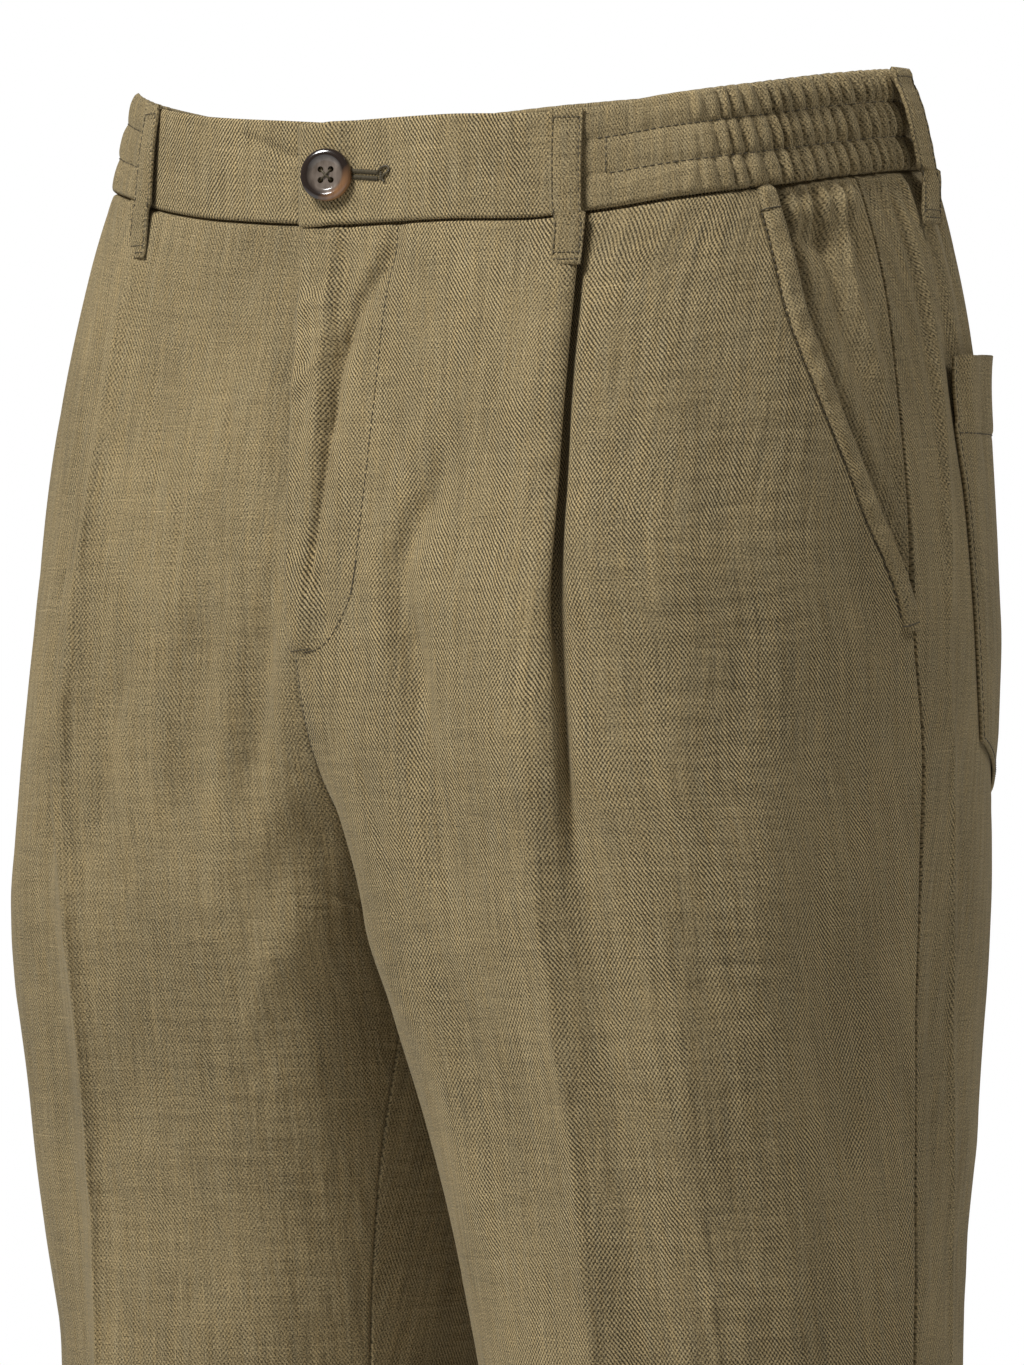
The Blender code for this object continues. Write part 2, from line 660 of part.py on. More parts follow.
def button(horn):
    """A four-hole button with a rounded rim round a dished face, turned a little towards the wearer's left."""
    profile = (
        (0, 0.9), (4.6, 0.9), (5.6, 1.3), (6.6, 2.1), (7.6, 2.4), (8.5, 2.1), (BUTTON_RADIUS, 1.2),
        (BUTTON_RADIUS - 0.2, 0.3), (8.0, -0.4), (5.0, -1.0), (0, -1.1),
    )
    turns = 48
    points = [(0, 0, profile[0][1])]
    for radius, height in profile[1:-1]:
        for k in range(turns):
            angle = 2 * math.pi * k / turns
            points.append((radius * math.cos(angle), radius * math.sin(angle), height))
    points.append((0, 0, profile[-1][1]))
    faces = [(0, 1 + k, 1 + (k + 1) % turns) for k in range(turns)]
    for ring in range(len(profile) - 3):
        first, second = 1 + ring * turns, 1 + (ring + 1) * turns
        for k in range(turns):
            after = (k + 1) % turns
            faces.append((first + k, second + k, second + after, first + after))
    last = 1 + (len(profile) - 3) * turns
    faces += [(last + k, len(points) - 1, last + (k + 1) % turns) for k in range(turns)]
    made = add_object("button", points, faces, horn)
    holes = []
    for turn in range(4):
        angle = math.pi / 4 + turn * math.pi / 2
        bpy.ops.mesh.primitive_cylinder_add(vertices=16, radius=1.0 * MM, depth=8 * MM)
        hole = bpy.context.object
        hole.location = (2.1 * MM * math.cos(angle), 2.1 * MM * math.sin(angle), 0)
        cut = made.modifiers.new(f"hole_{turn}", "BOOLEAN")
        cut.object, cut.operation, cut.solver = hole, "DIFFERENCE", "EXACT"
        holes.append(hole)
    bpy.context.view_layer.update()
    evaluated = made.evaluated_get(bpy.context.evaluated_depsgraph_get())
    drilled = bpy.data.meshes.new_from_object(evaluated)
    made.modifiers.clear()
    made.data = drilled
    for hole in holes:
        bpy.data.objects.remove(hole, do_unlink=True)
    spot = on_body(0, 5.0, 0, 1, BAND_HEIGHT / 2 + 0.5)
    turn = math.radians(12)
    toward = np.array([math.sin(turn), -math.cos(turn), 0])
    right = np.array([math.cos(turn), math.sin(turn), 0])
    up = np.array([0, 0, 1.0])
    centre = np.array(spot) + np.array([0, -1, 0]) * (0.8 + BAND + 0.5 + BUTTON_STAND)
    for vertex in drilled.vertices:
        x, y, z = (c / MM for c in vertex.co)
        vertex.co = [c * MM for c in centre + right * x + up * y + toward * z]
    return made


def main():
    for old in list(bpy.data.objects):
        bpy.data.objects.remove(old, do_unlink=True)
    linen = material("linen", LINEN, 0.85)
    horn = material("horn", HORN, 0.35)
    for word, side in (("left", 1), ("right", -1)):
        leg_panels(word, side, linen)
        pocket_facing(word, side, linen)
        pocket_welt(word, side, linen)
        patch_pocket(word, side, linen)
        front_band(word, side, linen)
        elastic_band(word, side, linen)
    for name, side, l in LOOPS:
        belt_loop(name, side, l, linen)
    button(horn)


main()
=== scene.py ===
"""Pleated linen trousers in the hollow form they take when worn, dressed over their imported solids.

Sizes are in millimetres until a mesh is made, which is in metres. The front faces -Y and the wearer's left is +X.
A place on the cloth is a height z and a length l round half the body, from the front edge round the side to the
back. Height 0 is the seam under the waistband.
"""

import math

import bmesh
import bpy
import numpy as np
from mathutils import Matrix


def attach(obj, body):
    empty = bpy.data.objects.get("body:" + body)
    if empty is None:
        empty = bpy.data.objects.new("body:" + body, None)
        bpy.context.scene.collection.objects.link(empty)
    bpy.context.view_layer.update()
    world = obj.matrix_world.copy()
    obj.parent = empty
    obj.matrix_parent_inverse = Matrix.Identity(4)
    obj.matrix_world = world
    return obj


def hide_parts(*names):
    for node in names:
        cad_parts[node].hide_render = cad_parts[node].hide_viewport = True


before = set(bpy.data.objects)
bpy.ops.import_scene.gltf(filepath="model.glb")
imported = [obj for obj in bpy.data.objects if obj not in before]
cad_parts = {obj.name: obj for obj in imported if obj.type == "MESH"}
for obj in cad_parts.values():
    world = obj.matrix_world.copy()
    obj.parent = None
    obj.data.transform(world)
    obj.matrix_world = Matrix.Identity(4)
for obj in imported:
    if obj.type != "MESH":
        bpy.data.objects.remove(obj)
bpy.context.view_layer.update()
MM = 0.001

# ---- Camera ---------------------------------------------------------------------------------------------------
# A long lens, level with the hips and turned towards the wearer's left. Its frame runs from just over the
# waistband down to the thighs.
camera_turn = math.radians(38)
camera_aim = np.array([-0.0030, -0.0024, -0.179])
camera_distance = 2.6
camera_place = camera_aim + camera_distance * np.array([math.sin(camera_turn), -math.cos(camera_turn), 0])
bpy.ops.object.camera_add(location=camera_place, rotation=(math.radians(90), 0, camera_turn))
camera = bpy.context.object
camera.data.lens = 178.1
camera.data.sensor_width = 36
bpy.context.scene.camera = camera

# ---- Studio ---------------------------------------------------------------------------------------------------
# A pale floor a little under the hems, white surroundings, and large soft lamps: the key from the front and the
# camera's left, a weaker one from its right, and one behind that lights the edges.
class Wiring:
    """Places nodes in one tree and links them, so that a shader reads as a list of steps."""

    def __init__(self, tree):
        self.tree = tree

    def put(self, value, socket):
        if hasattr(value, "links"):
            self.tree.links.new(value, socket)
        else:
            socket.default_value = value

    def step(self, kind, *values, out=0, named=(), **settings):
        """One output of a new node, whose first inputs take the values in turn and others take theirs by name."""
        node = self.tree.nodes.new(kind)
        for name, value in settings.items():
            setattr(node, name, value)
        for value, socket in zip(values, node.inputs):
            self.put(value, socket)
        for name, value in dict(named).items():
            self.put(value, node.inputs[name])
        return node.outputs[out] if len(node.outputs) else None

    def maths(self, operation, value, *others):
        """The operation on one value, or on each value in turn and what came before it."""
        if not others:
            return self.step("ShaderNodeMath", value, operation=operation)
        for other in others:
            value = self.step("ShaderNodeMath", value, other, operation=operation)
        return value

    def add(self, *values):
        return self.maths("ADD", *values)

    def times(self, *values):
        return self.maths("MULTIPLY", *values)

    def vector(self, operation, *values, **more):
        return self.step("ShaderNodeVectorMath", *values, operation=operation, **more)

    def scaled(self, vector, scale):
        return self.step("ShaderNodeMapping", vector, named={"Scale": scale})

    def noise(self, vector, scale, detail=2.0, shift=0.0):
        """Noise whose cells measure 1/scale along each direction, from 0 to 1."""
        place = self.scaled(self.vector("ADD", vector, (shift, shift * 1.7, 0)), scale)
        return self.step("ShaderNodeTexNoise", named={"Vector": place, "Scale": 1.0, "Detail": detail})

    def spread(self, value, low, high, start, end):
        """The value from low..high taken to start..end, held at its ends."""
        return self.step("ShaderNodeMapRange", value, low, high, start, end)

    def mix(self, share, first, second):
        between = {"Factor": share, "A": first, "B": second}
        return self.step("ShaderNodeMix", data_type="RGBA", out="Result", named=between)


def painted(name, values):
    """A new material whose shader has these plain values, with the shader's inputs and its wiring."""
    made = bpy.data.materials.new(name)
    made.use_nodes = True
    inputs = made.node_tree.nodes["Principled BSDF"].inputs
    for socket, value in values.items():
        inputs[socket].default_value = value
    return made, inputs, Wiring(made.node_tree)


floor_height = -1.09
bpy.ops.object.select_all(action="DESELECT")
bpy.ops.mesh.primitive_circle_add(vertices=96, radius=4.0, fill_type="NGON", location=(0, 0, floor_height))
floor = bpy.context.object
floor.name = "floor"
pale = {"Base Color": (0.76, 0.76, 0.75, 1), "Roughness": 0.9}
glow = {"Emission Color": (1, 0.99, 0.98, 1), "Emission Strength": 0.16}
floor.data.materials.append(painted("floor_paint", pale | glow)[0])

bpy.context.scene.view_settings.view_transform = "Standard"
world = bpy.data.worlds.new("white_room")
world.use_nodes = True
bpy.context.scene.world = world
world.node_tree.nodes.clear()
sky = Wiring(world.node_tree)
seen = sky.step("ShaderNodeBackground", (1, 1, 1, 1), 1.0)
shining = sky.step("ShaderNodeBackground", (1.0, 0.99, 0.97, 1), 0.14)
looked_at = sky.step("ShaderNodeLightPath", out="Is Camera Ray")
sky.step("ShaderNodeOutputWorld", sky.step("ShaderNodeMixShader", looked_at, shining, seen))


def soft_lamp(name, turn, height, distance, size, power):
    """A square lamp, turned this many degrees round from the front towards the wearer's left, aimed at the hips."""
    around = math.radians(turn)
    place = np.array([distance * math.sin(around), -distance * math.cos(around), height])
    bpy.ops.object.light_add(type="AREA", location=place)
    lamp = bpy.context.object
    lamp.name = name
    lamp.data.size = size
    lamp.data.energy = power
    toward = np.array([0, 0, -0.25]) - place
    flat = math.hypot(toward[0], toward[1])
    lamp.rotation_euler = (math.atan2(flat, -toward[2]), 0, math.atan2(-toward[0], toward[1]))


soft_lamp("key_lamp", -11, 1.9, 2.0, 0.8, 86)
soft_lamp("fill_lamp", 117, 1.5, 1.5, 0.7, 14)
soft_lamp("back_lamp", 205, 1.2, 2.8, 1.6, 13)

# ---- Linen ----------------------------------------------------------------------------------------------------
# Olive linen, whose weave shows as fine slanting ribs, about eight to the centimetre. Thick and thin yarns show as
# streaks along both directions, and a few slubs as short pale lines.
THREAD = 1.22  # distance between the slanting ribs


def weave_group():
    """The linen's colour, its height and its roughness, from the cloth's own coordinates in metres."""
    group = bpy.data.node_groups.new("linen_weave", "ShaderNodeTree")
    takes = {"Cloth": "Vector", "Tone": "Color", "Shift": "Float", "Clearness": "Float", "Slant": "Float"}
    gives = {"Color": "Color", "Height": "Float", "Roughness": "Float"}
    for way, sockets in (("INPUT", takes), ("OUTPUT", gives)):
        for name, kind in sockets.items():
            group.interface.new_socket(name, in_out=way, socket_type="NodeSocket" + kind)
    w = Wiring(group)
    given = group.nodes.new("NodeGroupInput").outputs
    shifted = w.step("ShaderNodeCombineXYZ", given["Shift"], given["Shift"], 0.0)
    cloth = w.vector("ADD", w.scaled(given["Cloth"], (1000, 1000, 1000)), shifted)
    wander = w.noise(cloth, (0.22, 0.09, 1), 1.0, 40)
    parts = w.step("ShaderNodeSeparateXYZ", cloth).node.outputs
    turn = 2 * math.pi / THREAD
    over = w.times(w.add(parts[0], w.times(wander, 1.0)), 0.82 * turn)
    down = w.times(w.add(parts[1], w.times(wander, 0.7)), 0.57 * turn, given["Slant"])
    main = w.maths("SINE", w.add(over, down))
    other = w.maths("SINE", w.maths("SUBTRACT", over, down))
    patch = w.spread(w.noise(cloth, (0.05, 0.02, 1), 1.0, 7), 0.4, 0.65, 0.2, 0.62)
    ribs = w.add(w.times(main, w.maths("SUBTRACT", 1.12, patch)), w.times(other, patch))
    clear = w.spread(w.noise(cloth, (0.07, 0.03, 1), 3.0, 90), 0.34, 0.6, 0.5, 1.0)
    ribs = w.times(ribs, clear, given["Clearness"])
    warp = w.noise(cloth, (1.25, 0.045, 1), 2.0, 3)
    weft = w.noise(cloth, (0.04, 1.1, 1), 2.0, 11)
    grain = w.noise(cloth, (2.0, 1.7, 1), 2.0, 23)
    cloud = w.noise(cloth, (0.022, 0.013, 1), 2.0, 57)
    streak = w.spread(w.noise(cloth, (0.28, 0.012, 1), 2.0, 71), 0.3, 0.7, -1.0, 1.0)
    slub_along = w.spread(w.noise(cloth, (1.5, 0.05, 1), 0.0, 131), 0.78, 0.83, 0.0, 1.0)
    slub_across = w.spread(w.noise(cloth, (0.045, 1.5, 1), 0.0, 151), 0.785, 0.835, 0.0, 1.0)
    slubs = w.maths("MAXIMUM", slub_along, slub_across)
    light = w.add(
        w.spread(warp, 0.25, 0.75, -0.17, 0.17), w.spread(weft, 0.25, 0.75, -0.12, 0.12), w.times(ribs, 1.1),
        w.spread(grain, 0.25, 0.75, -1.0, 1.0), w.spread(cloud, 0.3, 0.7, -0.13, 0.13), w.times(streak, 0.09),
        w.times(slubs, 0.42), 1.0,
    )
    toned = w.vector("SCALE", given["Tone"], named={"Scale": w.maths("MAXIMUM", light, 0.18)})
    warmth = w.spread(w.noise(cloth, (0.5, 0.05, 1), 2.0, 201), 0.3, 0.7, 0.0, 1.0)
    coloured = w.vector("MULTIPLY", toned, w.mix(warmth, (1.03, 1.0, 0.95, 1), (0.98, 1.0, 1.05, 1)))
    crumple = w.spread(w.noise(cloth, (0.13, 0.03, 1), 3.0, 301), 0.2, 0.8, 0.0, 11.0)
    across = w.spread(w.noise(cloth, (0.035, 0.15, 1), 3.0, 331), 0.2, 0.8, 0.0, 9.0)
    height = w.add(
        w.times(ribs, 0.32), w.spread(warp, 0.2, 0.8, 0.0, 0.6), w.spread(weft, 0.2, 0.8, 0.0, 0.5),
        w.times(slubs, 0.6), crumple, across,
    )
    w.step("NodeGroupOutput", coloured, height, w.spread(grain, 0.2, 0.8, 0.82, 0.95))
    return group


weave = weave_group()
LINEN_TONE = (0.236, 0.183, 0.096, 1)


def linen(name, shift, clearness=1.0, slant=1.0):
    """The linen for one panel. Shift slides the weave, so that no two panels carry the same yarns, clearness is
    how plainly its ribs show, and slant is which way they run."""
    sheen = {"Sheen Weight": 0.10, "Sheen Roughness": 0.5, "Sheen Tint": (0.9, 0.82, 0.6, 1)}
    made, shader, w = painted(name, {"Specular IOR Level": 0.14} | sheen)
    place = w.step("ShaderNodeUVMap", uv_map="cloth")
    woven = w.step("ShaderNodeGroup", place, LINEN_TONE, shift, clearness, slant, node_tree=weave).node.outputs
    w.put(woven["Color"], shader["Base Color"])
    w.put(woven["Roughness"], shader["Roughness"])
    raised = {"Strength": 0.30, "Distance": 0.0003, "Height": woven["Height"]}
    w.put(w.step("ShaderNodeBump", named=raised), shader["Normal"])
    return made


# ---- The worn form --------------------------------------------------------------------------------------------
# The cloth hangs on the form of a general figure. The outline at a height is a rounded shape in four quarters,
# which divides under the crotch into the two legs. These are the same sections that the solids are built on.
HALF_GAP = 0.15
CROTCH = -264.0
CROTCH_Y = -38.0
HEM = -1000.0
FORK = -160.0


class Sizes:
    """A short table with named columns, read on smooth curves down its first column."""

    def __init__(self, names, rows):
        values = np.array(sorted(rows), float)
        self.first = values[:, 0]
        self.columns = {}
        for k, name in enumerate(names.split()):
            column = values[:, k]
            steps = np.diff(column) / np.diff(self.first)
            slopes = np.concatenate([steps[:1], np.zeros(len(steps) - 1), steps[-1:]])
            before, after = steps[:-1], steps[1:]
            same = before * after > 0
            slopes[1:-1][same] = 2 * before[same] * after[same] / (before[same] + after[same])
            self.columns[name] = (column, slopes)

    def __call__(self, name, at):
        column, slopes = self.columns[name]
        at = np.clip(at, self.first[0], self.first[-1])
        i = np.clip(np.searchsorted(self.first, at, side="right") - 1, 0, len(self.first) - 2)
        span = self.first[i + 1] - self.first[i]
        t = (at - self.first[i]) / span
        near = column[i] * (1 + 2 * t) * (1 - t) ** 2 + slopes[i] * span * t * (1 - t) ** 2
        far = column[i + 1] * t * t * (3 - 2 * t) - slopes[i + 1] * span * t * t * (1 - t)
        return near + far


section = Sizes(
    "z mid_x mid_y side front back belly seat inseam_x inseam_y"
    " inner_front_n outer_front_n outer_back_n inner_back_n",
    (
        (0, 20, 0, 155, 118, 118, 118, 117, 0, 0, 2.2, 2.9, 2.65, 2.2),
        (-30, 30, 0, 166, 122, 128, 122, 125, 0, 0, 2.2, 2.8, 2.4, 2.2),
        (-60, 44, 0, 174, 126, 137, 126, 132, 0, 0, 2.2, 2.72, 2.2, 2.2),
        (-90, 56, 0, 180, 130, 143, 129, 137, 0, 0, 2.2, 2.68, 2.03, 2.2),
        (-120, 68, 0, 184.5, 134, 146, 133, 140, 0, 0, 2.2, 2.55, 1.86, 2.2),
        (-155, 82, 0, 188, 138, 147, 137, 141, 0, 0, 2.2, 2.32, 1.70, 2.2),
        (-185, 88, -1, 189.5, 138, 144, 137, 139, 0, 0, 2.6, 2.28, 1.66, 2.2),
        (-215, 92, -3, 190, 135, 136, 135, 134, 0, -38, 3.6, 2.42, 1.73, 2.3),
        (-240, 95, -4, 190.5, 131, 127, 131, 127, 0, -38, 4.5, 2.62, 1.85, 2.3),
        (-264, 97, -5, 191, 127, 119, 127, 119, 0, -38, 4.5, 2.78, 1.95, 2.3),
        (-300, 98, -7, 191, 118, 111, 0, 0, 4, -64, 3.7, 2.85, 2.05, 2.2),
        (-345, 100, -8, 191, 109, 104, 0, 0, 8, -66, 2.85, 2.7, 2.05, 2.1),
        (-395, 103, -9, 191, 102, 98, 0, 0, 13, -63, 2.35, 2.4, 1.95, 2.05),
        (-440, 105, -10, 191, 97, 94, 0, 0, 17, -58, 2.05, 2.05, 1.98, 2.0),
        (-640, 116, -4, 191, 79, 79, 0, 0, 41, -43, 2.0, 1.9, 2.0, 2.0),
        (-1000, 131, 2, 194, 64, 64, 0, 0, 68, -25, 2.0, 1.9, 2.0, 2.0),
    ),
)
# Height of the waist seam above its mean, by the angle round the waist from the front, on each side.
waistline = Sizes(
    "angle left right",
    (
        (0, -9.6, -9.6), (25, -9.2, -4.8), (38, -10, 0.5), (48, -7.6, 7), (58, -3, 10.8), (75, 3.4, 8.2),
        (90, 9, 6.2), (106, 13.6, 6.8), (130, 17.6, 11), (155, 17.8, 15), (180, 16, 16),
    ),
)
# The front crease, the back crease, the side seam behind the widest point, the pocket mouth forward of the side
# seam, and the lap of the left front over the right.
lines = Sizes(
    "z front_x back_x seam_back lean lap",
    (
        (0, 102, 86, 3, 49.5, 10.5), (-38, 104, 90, 2, 50, 9.5), (-76, 106, 92, -2, 38.5, 8.5),
        (-112, 108, 95, -4, 22.5, 6.6), (-160, 109, 98, -7, 0, 2), (-215, 111, 102, -1, 0, 0),
        (-264, 113, 104, -3, 0, 0), (-440, 119, 112, -1, 0, 0), (-640, 125, 120, 0, 0, 0),
        (-1000, 131, 131, 0, 0, 0),
    ),
)


def ease(t):
    t = np.clip(t, 0.0, 1.0)
    return t * t * (3 - 2 * t)


def quarter(middle, reach, n, start, end, turns=64):
    """Points of a rounded quarter, between two shares of the turn from its front or back point to its side."""
    angles = np.linspace(start, end, turns) * math.pi / 2
    across = middle[0] + reach[0] * np.sin(angles).clip(0) ** (2 / n)
    along = middle[1] + reach[1] * np.cos(angles).clip(0) ** (2 / n)
    return np.column_stack([across, along])


def share_at(height, n):
    return math.acos(min(max(height, 0.0), 1.0) ** (n / 2)) / (math.pi / 2)


class Outline:
    """Half of the outline at one height, from the inner front edge round the side to the inner back edge."""

    def __init__(self, z):
        def get(name):
            return float(section(name, z))

        middle = np.array([get("mid_x"), get("mid_y")])
        front, back = get("front"), get("back")
        front_n, back_n = get("inner_front_n"), get("inner_back_n")
        side = get("side") - middle[0]
        if z > CROTCH:
            bend = max((FORK - z) / (FORK - CROTCH), 0.0)
            front_y = CROTCH_Y + (middle[1] - get("belly") - CROTCH_Y) * math.sqrt(max(0.0, 1 - bend**1.8))
            back_y = CROTCH_Y + (middle[1] + get("seat") - CROTCH_Y) * math.sqrt(max(0.0, 1 - bend**2))
            inner_front = self.opened(middle, -front, front_n, front_y)
            if back_y > middle[1]:
                inner_back = self.opened(middle, back, back_n, back_y)[::-1]
            else:
                round_back = quarter(middle, (-middle[0], back), back_n, 0, 1)
                inner_back = np.vstack([round_back, [(0.0, back_y)]])
        else:
            reach = get("inseam_x") - middle[0]
            split = share_at((middle[1] - get("inseam_y")) / front, front_n)
            inner_front = quarter(middle, (reach, -front), front_n, split, 0)
            round_back = quarter(middle, (reach, back), back_n, 0, 1)
            rest = quarter(middle, (reach, -front), front_n, 1, split, 24)
            inner_back = np.vstack([round_back, rest[1:]])
        outer_front = quarter(middle, (side, -front), get("outer_front_n"), 0, 1)
        outer_back = quarter(middle, (side, back), get("outer_back_n"), 1, 0)
        self.points = np.vstack([inner_front[:-1], outer_front[:-1], outer_back[:-1], inner_back])
        steps = np.linalg.norm(np.diff(self.points, axis=0), axis=1)
        self.along = np.concatenate([[0], np.cumsum(steps)])
        self.length = float(self.along[-1])
        self.side = float(self.along[len(inner_front) + len(outer_front) - 2])

    @staticmethod
    def opened(middle, reach_y, n, edge_y):
        """The inner quarter above the crotch, from the centre line at edge_y to the front or back point."""
        height = min(abs((edge_y - middle[1]) / reach_y), 0.999)
        reach_x = middle[0] / (1 - height**n) ** (1 / n)
        return quarter(middle, (-reach_x, reach_y), n, share_at(height, n), 0)

    def spots(self, reach):
        return np.column_stack([np.interp(reach, self.along, self.points[:, k]) for k in (0, 1)])

    def at(self, l):
        """Points and outward directions at these lengths. Under 0 the outline runs on over the other half."""
        reach = np.clip(abs(l), 0, self.length)
        point = self.spots(reach)
        run = self.spots(np.minimum(reach + 2.5, self.length)) - self.spots(np.maximum(reach - 2.5, 0))
        run /= np.linalg.norm(run, axis=1, keepdims=True)
        out = np.column_stack([run[:, 1], -run[:, 0]])
        point[:, 0] += HALF_GAP
        over = l < 0
        point[over, 0] = 2 * HALF_GAP - point[over, 0]
        out[over, 0] *= -1
        return point, out

    def length_at(self, x, behind=False):
        part = self.along >= self.side if behind else self.along <= self.side
        xs, lengths = self.points[part][:, 0], self.along[part]
        return float(np.interp(x, xs[::-1], lengths[::-1]) if behind else np.interp(x, xs, lengths))


outlines = {}


def outline(z):
    key = round(float(z), 2)
    if key not in outlines:
        outlines[key] = Outline(key)
    return outlines[key]


def side_seam(z):
    return outline(z).side + float(lines("seam_back", z))


def pocket_mouth(z):
    return side_seam(z) - float(lines("lean", z))


def front_crease(z):
    return outline(z).length_at(float(lines("front_x", z)))


def back_crease(z):
    return outline(z).length_at(float(lines("back_x", z)), behind=True)


def lay(zs, ls, lifts, side, rises=0.0):
    """A grid of cloth: a row for each height, laid round the form at these lengths and lifted off it."""
    rises = np.broadcast_to(rises, ls.shape)
    rows = []
    for z, l, lift, rise in zip(zs, ls, lifts, rises):
        point, out = outline(z).at(l)
        spot = point + out * lift[:, None]
        spot[:, 0] = np.where(l >= 0, np.maximum(spot[:, 0], HALF_GAP), spot[:, 0])
        angle = np.degrees(np.arctan2(abs(point[:, 0]), -point[:, 1]))
        on_left = (point[:, 0] > 0) == (side > 0)
        drop = np.where(on_left, waistline("left", angle), waistline("right", angle))
        drop = drop * (1 - ease(-z / 130))
        rows.append(np.column_stack([side * spot[:, 0], spot[:, 1], z + drop + rise]))
    return np.array(rows)


# ---- Cloth ----------------------------------------------------------------------------------------------------
# Each cut piece of linen is a thin closed shell. Its face is a fine grid of points, and its back is every second
# point moved in by the cloth's thickness, so the shell is closed round its edges.
def facing_out(points, side):
    """Outward directions of a grid whose rows go down and whose columns go round towards the back."""
    out = np.cross(np.gradient(points, axis=0), np.gradient(points, axis=1)) * side
    return out / np.linalg.norm(out, axis=2, keepdims=True).clip(1e-9)


class Panel:
    """A laid grid of cloth with its own places, so that seams and stitches can be put on it."""

    def __init__(self, zs, us, points, side):
        self.zs, self.us, self.points, self.side = np.asarray(zs, float), us, points, side
        self.out = facing_out(points, side)

    def at(self, u, z, lift=0.0):
        """The point on the face at this place, lifted off it, with the outward direction there."""
        i = int(np.clip(np.searchsorted(-self.zs, -z) - 1, 0, len(self.zs) - 2))
        down = np.clip((self.zs[i] - z) / (self.zs[i] - self.zs[i + 1]), 0, 1)
        row = self.us[i] * (1 - down) + self.us[i + 1] * down
        j = int(np.clip(np.searchsorted(row, u) - 1, 0, len(row) - 2))
        on = np.clip((u - row[j]) / (row[j + 1] - row[j]), 0, 1)

        def mix(grid):
            upper = grid[i, j] * (1 - on) + grid[i, j + 1] * on
            lower = grid[i + 1, j] * (1 - on) + grid[i + 1, j + 1] * on
            return upper * (1 - down) + lower * down

        out = mix(self.out)
        out = out / np.linalg.norm(out)
        return mix(self.points) + out * lift, out


def mesh_object(name, points, faces, finish, uv=None):
    mesh = bpy.data.meshes.new(name)
    mesh.from_pydata((np.asarray(points) * MM).tolist(), [], faces)
    mesh.materials.append(finish)
    if uv is not None:
        layer = mesh.uv_layers.new(name="cloth")
        corner = np.empty(len(mesh.loops), dtype=np.int32)
        mesh.loops.foreach_get("vertex_index", corner)
        layer.data.foreach_set("uv", (np.asarray(uv)[corner] * MM).ravel())
    mesh.shade_smooth()
    made = bpy.data.objects.new(name, mesh)
    bpy.context.scene.collection.objects.link(made)
    return made


def cut_and_sewn(name, points, side, finish, thick, node, uv=None):
    """A closed shell of linen in the place of a solid, with the size of its flat cut. Its yarns run along the places
    given for it, or along its own rows and columns."""
    rows, columns = points.shape[:2]
    if uv is None:
        across = np.linalg.norm(np.diff(points, axis=1), axis=2)
        across = np.concatenate([np.zeros((rows, 1)), np.cumsum(across, axis=1)], axis=1)
        down = np.linalg.norm(np.diff(points[:, 0], axis=0), axis=1)
        down = np.concatenate([[0], np.cumsum(down)])
        uv = np.stack([across, np.repeat(-down[:, None], columns, axis=1)], axis=2)
    back = (points - thick * facing_out(points, side))[::2, ::2]
    face_index = np.arange(rows * columns).reshape(rows, columns)
    back_index = rows * columns + np.arange(back[..., 0].size).reshape(back.shape[:2])

    def squares(index, turned):
        corners = [index[:-1, :-1], index[1:, :-1], index[1:, 1:], index[:-1, 1:]]
        corners = [corners[0], *corners[:0:-1]] if turned else corners
        return np.stack(corners, axis=2).reshape(-1, 4).tolist()

    faces = squares(face_index, False) + squares(back_index, True)
    rims = ((face_index[0], back_index[0], False), (face_index[-1], back_index[-1], True),
            (face_index[:, 0], back_index[:, 0], True), (face_index[:, -1], back_index[:, -1], False))
    for near, far, turned in rims:
        near, far = near.tolist(), far.tolist()
        for k in range(len(far) - 1):
            edge = near[2 * k:2 * k + 3]
            faces.append((*edge[::-1], far[k], far[k + 1]) if turned else (*edge, far[k + 1], far[k]))
    if side < 0:
        faces = [face[::-1] for face in faces]
    vertices = np.concatenate([points.reshape(-1, 3), back.reshape(-1, 3)])
    places = np.concatenate([uv.reshape(-1, 2), uv[::2, ::2].reshape(-1, 2)])
    made = mesh_object(name, vertices, faces, finish, places)
    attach(made, "root")
    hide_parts(node)


def curve_through(path, steps=6):
    """A smooth path through a few chosen points."""
    path = np.asarray(path, float)
    if len(path) < 3:
        return path
    ends = np.vstack([2 * path[0] - path[1], path, 2 * path[-1] - path[-2]])
    made = []
    for before, a, b, after in zip(ends, ends[1:], ends[2:], ends[3:]):
        for t in np.arange(steps) / steps:
            bent = 2 * a + (b - before) * t + (2 * before - 5 * a + 4 * b - after) * t**2
            made.append((bent + (3 * a - before - 3 * b + after) * t**3) / 2)
    return np.array([*made, path[-1]])


def off_path(x, z, path):
    """How far each place lies from a path, on which side of it, and at which share of the path's length."""
    sizes = np.linalg.norm(np.diff(path, axis=0), axis=1)
    nearest, share, hand = np.full(x.shape, 1e9), np.zeros(x.shape), np.ones(x.shape)
    done = 0.0
    for k, size in enumerate(sizes):
        (x0, z0), (x1, z1) = path[k], path[k + 1]
        low = -0.5 * sizes.sum() / size if k == 0 else 0.0
        high = 1 + 0.5 * sizes.sum() / size if k == len(sizes) - 1 else 1.0
        run = np.clip(((x - x0) * (x1 - x0) + (z - z0) * (z1 - z0)) / size**2, low, high)
        off = np.hypot(x - x0 - run * (x1 - x0), z - z0 - run * (z1 - z0))
        closer = off < nearest
        nearest = np.where(closer, off, nearest)
        share = np.where(closer, (done + run * size) / sizes.sum(), share)
        turned = (x - x0) * (z0 - z1) - (z0 - z) * (x1 - x0)
        hand = np.where(closer, np.sign(turned), hand)
        done += size
    return nearest, share, hand


